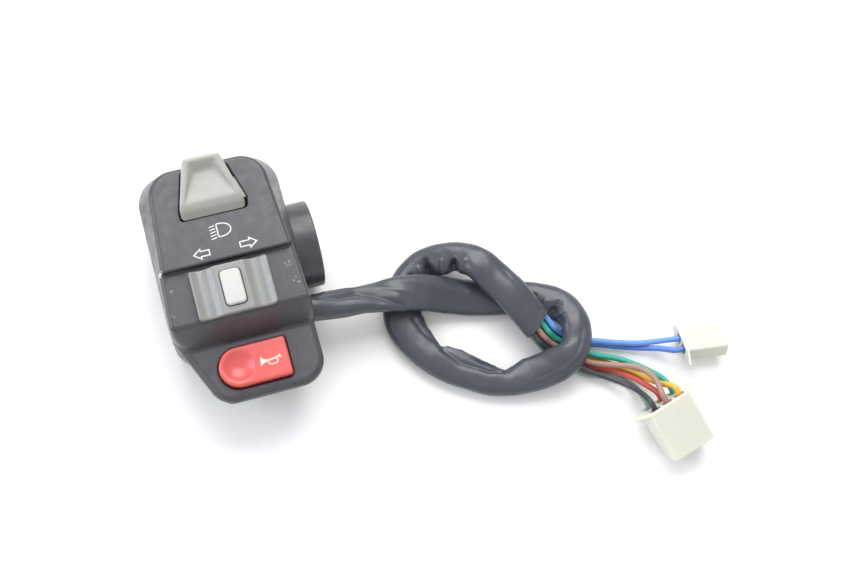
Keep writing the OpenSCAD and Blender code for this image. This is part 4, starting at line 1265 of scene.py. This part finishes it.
    def build(self) -> Object:
        """Return the sleeve.

        Returns:
            The sleeve's object.
        """
        path = smooth_route(self.route(), self.steps)
        index = np.arange(len(path)) / self.steps
        rings = self._rings(path, index)
        inside = self._lining(rings, path)
        skin = np.concatenate([rings, inside])
        obj = quad_mesh("harness_sleeve_skin", skin.reshape(-1, 3), ring_quads(len(skin), self.around))
        settle(obj, SLEEVE_FINISH, Body.HOUSING, Slot.SLEEVE.value, "harness_sleeve")
        return obj

    def _rings(self, path: Array, index: Array) -> Array:
        """Return the outer rings with their dents.

        Args:
            path: Centre line.
            index: Route point number at each point of the path.

        Returns:
            Points of each ring.
        """
        ahead, right, up = frames(path)
        at = [section.at for section in self.sections]
        right_w, left_w, thick, roll, power = (
            np.interp(index, at, [getattr(section, name) for section in self.sections])[:, None]
            for name in ("right", "left", "thick", "roll", "power")
        )
        angle = np.arange(self.around) * 2 * math.pi / self.around
        across, rise = np.cos(angle)[None, :], np.sin(angle)[None, :]
        scale = (np.abs(across) ** power + np.abs(rise) ** power) ** (-1 / power)
        along = np.concatenate([[0.0], np.cumsum(np.linalg.norm(np.diff(path, axis=0), axis=1))])
        pressed = self._pressed(index, along, angle)
        w = (np.where(across > 0, right_w, left_w) * scale - pressed) * across
        t = (thick / 2 * scale - pressed * 0.8) * rise
        roll = np.radians(roll)
        w, t = w * np.cos(roll) - t * np.sin(roll), w * np.sin(roll) + t * np.cos(roll)
        cut = self.end_back * (1 - across) / 2 * np.clip((index - index[-1]) / 1.5 + 1, 0, 1)[:, None]
        rings = path[:, None, :] + right[:, None, :] * w[..., None] + up[:, None, :] * t[..., None]
        return rings - ahead[:, None, :] * cut[..., None]

    def _pressed(self, index: Array, along: Array, angle: Array) -> Array:
        """Return how deep the skin is pressed in at each ring and angle.

        Args:
            index: Route point number of each ring.
            along: Length of the path up to each ring.
            angle: Angle of each point of a ring.

        Returns:
            Depths, one row a ring.
        """
        turned = np.degrees(angle)[None, :]
        place = index[:, None]
        deep = self.ripple * np.sin(place * 5.3 + turned * 0.035) * np.sin(place * 2.1 + turned * 0.07)
        for d in self.dents:
            off = (turned - d.angle + 180) % 360 - 180
            deep = deep + d.depth * np.exp(-(np.hypot((place - d.at) / d.reach, off / d.spread) ** 2.4))
        girth = self.width * math.pi / 2 / 200
        for fold in self.folds:
            off = np.full(deep.shape, fold.reach)
            for (i, a), (j, b) in zip(fold.line, fold.line[1:]):
                start, end = np.interp((i, j), index, along)
                run, turn = end - start, (b - a) * girth
                u = along[:, None] - start
                v = ((turned - a + 180) % 360 - 180) * girth
                share = np.clip((u * run + v * turn) / (run * run + turn * turn), 0, 1)
                off = np.minimum(off, np.hypot(u - share * run, v - share * turn))
            deep = deep + fold.depth * (1 - off / fold.reach) ** 2
        return deep * np.clip(index - self.pressed_from, 0, 1)[:, None]

    def _lining(self, rings: Array, path: Array) -> Array:
        """Return inner rings that run back from the open end.

        Args:
            rings: Outer rings.
            path: Centre line.

        Returns:
            Points of each inner ring.
        """
        back = np.arange(len(rings) - 1, len(rings) - 1 - 2 * self.steps, -1)
        middle = path[back][:, None, :]
        out = rings[back] - middle
        reach = np.linalg.norm(out, axis=-1, keepdims=True)
        return middle + out * np.maximum(1 - self.skin / reach, 0.2)


@dataclass
class Wire:
    """Insulated wire from the sleeve to one cavity of a connector."""

    node: str
    colour: Colour
    side: float
    rise: float
    points: Sequence[Point]
    column: float
    row: float
    diameter: float = 1.9
    straight: float = 3.0
    depth: float = 2.5
    pitch: float = 2.3
    inside: float = 4.0
    mouth_gap: float = 0.25
    steps: int = 8
    around: int = 20

    def build(self, sleeve: HarnessSleeve, connector: Connector, plug: Sequence[Object]) -> Object:
        """Return the wire.

        Args:
            sleeve: Sleeve that the wire comes out of.
            connector: Connector that it goes into.
            plug: Objects of that connector and its terminals; not used.

        Returns:
            The wire's object.
        """
        last, ahead, right, up = sleeve.end()
        start = last + ahead * self.mouth_gap + right * self.side * self.pitch + up * self.rise * self.pitch

        def cavity(depth: float) -> Array:
            """Return the middle of the wire's cavity at a depth."""
            spot = np.array([[depth, self.column * connector.pitch, self.row * connector.row_pitch]])
            return (connector.placed(spot) + connector.origin())[0]

        route = [start - ahead * self.inside, start, start + ahead * self.straight]
        route += [np.array(p, dtype=float) for p in self.points]
        route += [cavity(-self.straight), cavity(self.depth - self.diameter), cavity(self.depth)]
        path = smooth_route(route, self.steps)
        rings = round_rings(path, self.diameter / 2, self.around)
        obj = quad_mesh(self.node + "_skin", rings.reshape(-1, 3), ring_quads(len(rings), self.around, True))
        cover = Finish(self.node + "_cover", self.colour, roughness=0.42, mottle=0.07, grain=0.05)
        settle(obj, cover, Body.HOUSING, self.node.split("_")[1] + "_wire", self.node)
        log.info("%s: %.0f mm long", obj.name, length_of(path))
        return obj


@dataclass
class Harness:
    """Sleeve, wires and the two connectors."""

    under: float = TABLE_Z + 1.25
    over: float = TABLE_Z + 3.4

    def wires(self) -> tuple[list[Wire], list[Wire]]:
        """Return the wires of the two-way and of the six-way connector.

        Returns:
            Two lists of wires.
        """
        low, top = self.under, self.over
        two = [
            Wire("wire_blue_upper", (0.12, 0.27, 0.66), -1.5, 0.5, [
                (99, -46.2, -9), (104, -49.4, top), (111.4, -52.2, -10.7), (117.8, -54.4, -10.7),
                (124.2, -56.2, -10.7),
            ], 0.5, 0),
            Wire("wire_blue_lower", (0.085, 0.20, 0.60), -1.5, -0.5, [
                (98.9, -46.8, -11.5), (104, -50.2, low), (111.6, -53, -12.8), (118, -55.4, -12.8),
                (124.4, -57.6, -12.4), (129.6, -59.4, -10.9),
            ], -0.5, 0),
        ]
        six = [
            Wire("wire_teal", (0.022, 0.34, 0.26), -0.5, 0.5, [
                (97.2, -47.8, -9), (102.6, -51.7, top), (108.6, -56, top), (115, -59, -11), (119.6, -62.2, -10.2),
                (122.8, -65.2, -9), (125.8, -69, -6.8),
            ], 1, -0.5),
            Wire("wire_yellow", (0.70, 0.40, 0.05), -0.5, -0.5, [
                (97.2, -48.2, -11.4), (102.4, -52.6, low), (108.6, -57, low), (114.6, -61, -12.8),
                (119.6, -64.8, -11.6), (122.6, -68.8, -8.4), (125, -71.8, -4.2),
            ], 1, 0.5),
            Wire("wire_brown", (0.31, 0.185, 0.15), 0.5, 0.5, [
                (95.4, -49.2, -9), (101.2, -53.8, top), (106.4, -58.2, -10.8), (113.4, -61.2, -9.6),
                (118.6, -63.4, -7.8), (121.6, -66.4, -5.4), (122.8, -70.4, -2.6),
            ], 0, 0.5),
            Wire("wire_red", (0.52, 0.075, 0.055), 0.5, -0.5, [
                (95.4, -49.6, -11.4), (100.8, -54.8, low), (106.2, -59.2, low), (112, -61.8, -12.6),
                (117.8, -66.1, -10.6), (120.2, -69.2, -8.8),
            ], 0, -0.5),
            Wire("wire_black", (0.036, 0.038, 0.048), 1.5, 0.5, [
                (93.6, -50.6, -9), (99.4, -56, top), (105, -60.8, top), (110.6, -64.5, -11), (115.2, -68.7, -8.6),
                (117.2, -72.2, -5.2),
            ], -1, 0.5),
            Wire("wire_green", (0.20, 0.30, 0.26), 1.5, -0.5, [
                (93.6, -51, -11.4), (99, -56.8, low), (104.8, -61.4, low), (111.4, -63.8, -13.2),
                (116.2, -66.9, -13), (118.4, -70.6, -10.8),
            ], -1, -0.5),
        ]
        return two, six

    def connectors(self) -> tuple[Connector, Connector]:
        """Return the two connectors, with their mating ends down on the table.

        Returns:
            The two-way and the six-way connector.
        """
        # The two-way connector takes the darker nylon copy, painted shade against its brightly lit top face.
        two = Connector(
            "connector_two_way", Body.HOUSING, Slot.NYLON, SHADED_NYLON_FINISH, (-0.5, -10, -3.4), (15.0, 10, 3.4),
            0.22, (137.1, -60.1), (-28, 0, -7.4), (-0.5, 0.5), (0.0,),
        )
        six = Connector(
            "connector_six_way", Body.HOUSING, Slot.NYLON, NYLON_FINISH, (-0.5, -12.2, -6), (18.0, 12.2, 6), 0.26,
            (123.5, -77.2), (6, 16, -72.5), (-1, 0, 1), (-0.5, 0.5), 7.5, 5.3, 17.4,
        )
        return two, six

    def build(self) -> None:
        """Build the sleeve, the connectors and the wires."""
        sleeve = HarnessSleeve()
        sleeve.build()
        for connector, wires in zip(self.connectors(), self.wires()):
            plug = [connector.build(), frame["nodes"][connector.node.replace("connector", "terminals")]]
            for wire in wires:
                wire.build(sleeve, connector, plug)


@dataclass
class InnerLeads:
    """Leads inside the housing, from the sleeve to the three boards."""

    diameter: float = 2.4
    steps: int = 6
    around: int = 16
    routes: Sequence[Sequence[Point]] = (
        ((13.75, -22.1, -1.8), (10.4, -22.1, -1.8), (8.4, -25, -1), (7.6, -29, -0.22), (7.4, -33.35, -0.22)),
        (
            (13.75, -22.1, 1.8), (11.6, -22.1, 2), (10, -20.5, 5.4), (9, -16.35, 8.4), (7.8, -13.35, 9.63),
            (6.5, -10.95, 9.63),
        ),
        (
            (13.75, -18.2, 0), (12, -17.7, 0.8), (13.2, -15, 5), (13.6, -9.6, 9.8), (13.4, -6, 11.6),
            (13, -1, 13.2), (12.2, 5, 12.4), (9.6, 9.4, 10.36), (5.4, 11.5, 10.36), (1, 11.5, 10.36),
        ),
    )

    def build(self) -> Object:
        """Return the three leads as one object.

        Returns:
            The leads' object.
        """
        parts = []
        for route in self.routes:
            rings = round_rings(smooth_route(route, self.steps), self.diameter / 2, self.around)
            parts.append((rings.reshape(-1, 3), ring_quads(len(rings), self.around, True)))
        obj = joined("inner_leads_skin", parts)
        return settle(obj, LEAD_FINISH, Body.HOUSING, Slot.LEAD.value, "inner_leads")


@dataclass
class Stroke:
    """Printed line through points of a mark on a level face, of one width or a width at each point."""

    points: Sequence[Pair]
    width: float | Sequence[float] = 0.36
    closed: bool = False

    def mesh(self, z: float) -> tuple[Array, Array]:
        """Return vertices and quads of the line's strip at height z.

        Args:
            z: Height of the strip.

        Returns:
            Vertices, and four vertex numbers for each quad.
        """
        p = np.array(self.points, dtype=float)
        if self.closed:
            before, after = np.roll(p, 1, axis=0), np.roll(p, -1, axis=0)
        else:
            before, after = np.vstack([2 * p[0] - p[1], p[:-1]]), np.vstack([p[1:], 2 * p[-1] - p[-2]])
        a, b = unit(p - before), unit(after - p)
        normal = unit(np.stack([-(a + b)[:, 1], (a + b)[:, 0]], axis=1))
        stretch = np.maximum((normal * np.stack([-a[:, 1], a[:, 0]], axis=1)).sum(1, keepdims=True), 0.35)
        offset = normal * np.reshape(self.width, (-1, 1)) / 2 / stretch
        flat = np.concatenate([p - offset, p + offset])
        n = len(p)
        i = np.arange(n if self.closed else n - 1)
        j = (i + 1) % n
        quads = np.stack([i, j, n + j, n + i], axis=1)
        return np.column_stack([flat, np.full(len(flat), z)]), quads


@dataclass
class PrintedMark:
    """Generic pictogram printed on a level face, as a thin layer of lines."""

    name: str
    body: Body
    finish: Finish
    z: float
    strokes: Sequence[Stroke]
    thick: float = 0.03
    layer: float = 0.3

    def build(self) -> Object:
        """Return the mark.

        Returns:
            The mark's object.
        """
        heights = [self.z + self.thick * (1 + self.layer * n) for n in range(len(self.strokes))]
        obj = joined(self.name, [stroke.mesh(z) for stroke, z in zip(self.strokes, heights)])
        return settle(obj, self.finish, self.body, Slot.WHITE.value)


def arrow(tip: Pair, tail: float) -> Stroke:
    """Return the outline of a turn arrow from its tip to the x of its tail.

    Args:
        tip: Point of the arrow.
        tail: Where the tail ends along X.

    Returns:
        The outline.
    """
    x, y = tip
    way = 1 if tail > x else -1
    neck = x + way * 2.1
    upper = [(neck, y + 1.5), (neck, y + 0.8), (tail, y + 0.8)]
    lower = [(tail, y - 0.8), (neck, y - 0.8), (neck, y - 1.5)]
    return Stroke([(x, y), *upper, *lower], closed=True)


def headlamp() -> list[Stroke]:
    """Return the lines of a headlamp mark with its beams to the left.

    Returns:
        The lamp's outline and five beams.
    """
    angle = np.linspace(math.pi / 2, -math.pi / 2, 13)
    bowl = [(0.5 + 3.2 * math.cos(a), 3.5 + 2.05 * math.sin(a)) for a in angle]
    lamp = Stroke([(-0.1, 5.55), *bowl, (-0.1, 1.45), (-0.35, 1.75), (-0.35, 5.25)], closed=True)
    beams = [Stroke([(-2.6, 1.15 + 0.94 * i), (-0.85, 1.45 + 0.94 * i)], 0.3) for i in range(5)]
    return [lamp, *beams]


def horn_mark() -> list[Stroke]:
    """Return the lines of a bugle, the usual mark of a horn.

    Returns:
        The loop, and the tube with its bell.
    """
    turn = np.linspace(0, 2 * math.pi, 25)[:-1]
    loop = [(6.25 + 1.5 * math.cos(a), -36.75 + 0.8 * math.sin(a)) for a in turn]
    tube = [
        (2.6, -36.0), (2.85, -36.03), (3.3, -36.07), (4.0, -36.13), (5.1, -36.2), (7.8, -35.75), (8.4, -35.62),
        (8.7, -35.55),
    ]
    widths = (3.2, 2.4, 1.55, 0.9, 0.5, 0.42, 0.8, 1.5)
    return [Stroke(loop, 0.3, closed=True), Stroke(tube, widths)]


@dataclass
class InnerParts:
    """CAD nodes that keep their own solids and take a finish by what they are made of."""

    finishes: dict[str, Finish] = field(
        default_factory=lambda: {
            Slot.WHITE.value: WHITE_FINISH,
            Slot.BOARD.value: BOARD_FINISH,
            Slot.ZINC.value: ZINC_FINISH,
            Slot.SPRING.value: SPRING_FINISH,
            Slot.BRASS.value: BRASS_FINISH,
            Slot.BLACK.value: HOUSING_FINISH,
            Slot.GREY.value: ROCKER_FINISH,
            Slot.SLIDER.value: SLIDER_FINISH,
            Slot.RED.value: HORN_FINISH,
        }
    )

    def build(self) -> None:
        """Dress every node that has a slot with a finish here."""
        for part in frame["record"]["subparts"]:
            finish = self.finishes.get(part["material_slot"])
            if finish is not None:
                finish.on(frame["nodes"][part["node"]])
        log.info("inner parts: dressed")


@dataclass
class ButtonSpring:
    """Return spring under a button."""

    node: str
    body: Body
    joint: str
    travel: float

    def build(self) -> Object:
        """Return the spring in place of its CAD node.

        Returns:
            The spring's object.
        """
        obj = link(self.node + "_skin", frame["nodes"][self.node].data.copy())
        settle(obj, SPRING_FINISH, self.body, Slot.SPRING.value, self.node)
        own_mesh(obj)
        return obj


@dataclass
class Studio:
    """Camera, pale floor and soft lights."""

    eye: Point = (-0.011443, -0.115346, 0.395156)
    right: Point = (0.95472756, -0.27664666, 0.10937055)
    above: Point = (0.24073343, 0.93448084, 0.26228416)
    back: Point = (-0.17476472, -0.22408077, 0.95877271)
    lens: float = 54.42
    floor_half: float = 3.0

    def camera(self) -> None:
        """Place the camera where the photograph was taken from."""
        data = bpy.data.cameras.new("camera")
        data.sensor_width = 36.0
        data.lens = self.lens
        data.clip_start = 0.01
        obj = link("camera", data)
        columns = [Vector(self.right), Vector(self.above), Vector(self.back)]
        turn = Matrix(columns).transposed().to_4x4()
        obj.matrix_world = Matrix.Translation(Vector(self.eye)) @ turn
        bpy.context.scene.camera = obj

    def floor(self) -> None:
        """Lay the pale floor that the object rests on."""
        h = self.floor_half
        mesh = bpy.data.meshes.new("floor")
        z = TABLE_Z * MM
        mesh.from_pydata([(-h, -h, z), (h, -h, z), (h, h, z), (-h, h, z)], [], [(0, 1, 2, 3)])
        obj = link("floor", mesh)
        mat = bpy.data.materials.new("paper")
        mat.use_nodes = True
        look = {"Base Color": (0.90, 0.90, 0.895, 1), "Roughness": 0.9, "Specular IOR Level": 0.1}
        feed(mat.node_tree, mat.node_tree.nodes["Principled BSDF"], look)
        obj.data.materials.append(mat)

    def light(self, name: str, place: Point, aim: Point, size: float, watts: float, colour: Colour) -> None:
        """Hang a square soft light.

        Args:
            name: Name of the light.
            place: Where it hangs, in metres.
            aim: Where it points.
            size: Side of its square.
            watts: Power.
            colour: Colour of the light.
        """
        data = bpy.data.lights.new(name, "AREA")
        data.shape = "SQUARE"
        data.size = size
        data.energy = watts
        data.color = colour
        obj = link(name, data)
        obj.location = place
        obj.rotation_euler = (Vector(aim) - Vector(place)).to_track_quat("-Z", "Y").to_euler()

    def build(self) -> None:
        """Set up the floor, the lights and the world."""
        self.floor()
        middle = (0.05, -0.03, 0.0)
        self.light("key", (0.18, 0.55, 0.70), middle, 0.8, 9.5, (1.0, 0.99, 0.97))
        self.light("fill", (-0.80, 0.20, 0.45), middle, 0.6, 5.0, (0.80, 0.86, 1.0))
        world = bpy.data.worlds.new("room")
        bpy.context.scene.world = world
        world.use_nodes = True
        feed(world.node_tree, world.node_tree.nodes["Background"], {"Color": (1, 1, 1, 1), "Strength": 0.85})
        bpy.context.scene.view_settings.view_transform = "Standard"
        log.info("studio: ready")


def carved_pieces() -> list[CarvedPiece]:
    """Return the housing halves, the rocker, the slider and the two buttons with their grids.

    Returns:
        The pieces in the order of building.
    """
    return [
        FrontHousing(
            "front_housing", Body.HOUSING, Slot.BLACK, HOUSING_FINISH, (-21.4, -45.6, 0), (29.1, 27.9, 24.6), 0.4
        ),
        RearHousing(
            "rear_housing", Body.HOUSING, Slot.BLACK, HOUSING_FINISH, (-21.4, -45.6, -14.6), (29.1, 27.9, 0), 0.45
        ),
        BeamRocker("beam_rocker", Body.ROCKER, Slot.GREY, ROCKER_FINISH, (-9.8, 8.8, 17), (9.8, 25.8, 32), 0.22),
        TurnSlider(
            "turn_slider", Body.SLIDER, Slot.SLIDER, SLIDER_FINISH, (-12, -22.2, 19.3), (12, -6.5, 25), 0.18
        ),
        CancelButton(
            "cancel_button", Body.CANCEL, Slot.WHITE, WHITE_FINISH, (-3.3, -20, 15.4), (3.3, -8.7, 26), 0.12
        ),
        HornButton("horn_button", Body.HORN, Slot.RED, HORN_FINISH, (-10.8, -42.8, 6.5), (12.2, -28.8, 15), 0.2),
    ]


def marks() -> list[PrintedMark]:
    """Return the printed marks.

    Returns:
        The marks.
    """
    panel = FrontHousing.panel_z
    return [
        PrintedMark("mark_headlamp", Body.HOUSING, MARK_FINISH, panel, headlamp()),
        PrintedMark("mark_turn_left", Body.HOUSING, MARK_FINISH, panel, [arrow((-8.8, -2.4), -4.1)]),
        PrintedMark("mark_turn_right", Body.HOUSING, MARK_FINISH, panel, [arrow((10.1, -2.3), 5.1)]),
        PrintedMark("mark_horn", Body.HORN, HORN_MARK_FINISH, HornButton.top, horn_mark()),
    ]


def main() -> None:
    """Build every piece in order."""
    logging.basicConfig(level=logging.INFO, format="%(message)s")
    studio = Studio()
    studio.camera()
    Harness().build()
    InnerLeads().build()
    InnerParts().build()
    ButtonSpring("cancel_spring", Body.SLIDER, "cancel_press", 1.0).build()
    ButtonSpring("horn_spring", Body.HOUSING, "horn_press", 2.0).build()
    for piece in carved_pieces():
        piece.build()
    for mark in marks():
        mark.build()
    studio.build()
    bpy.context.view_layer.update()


if __name__ == "__main__":
    main()
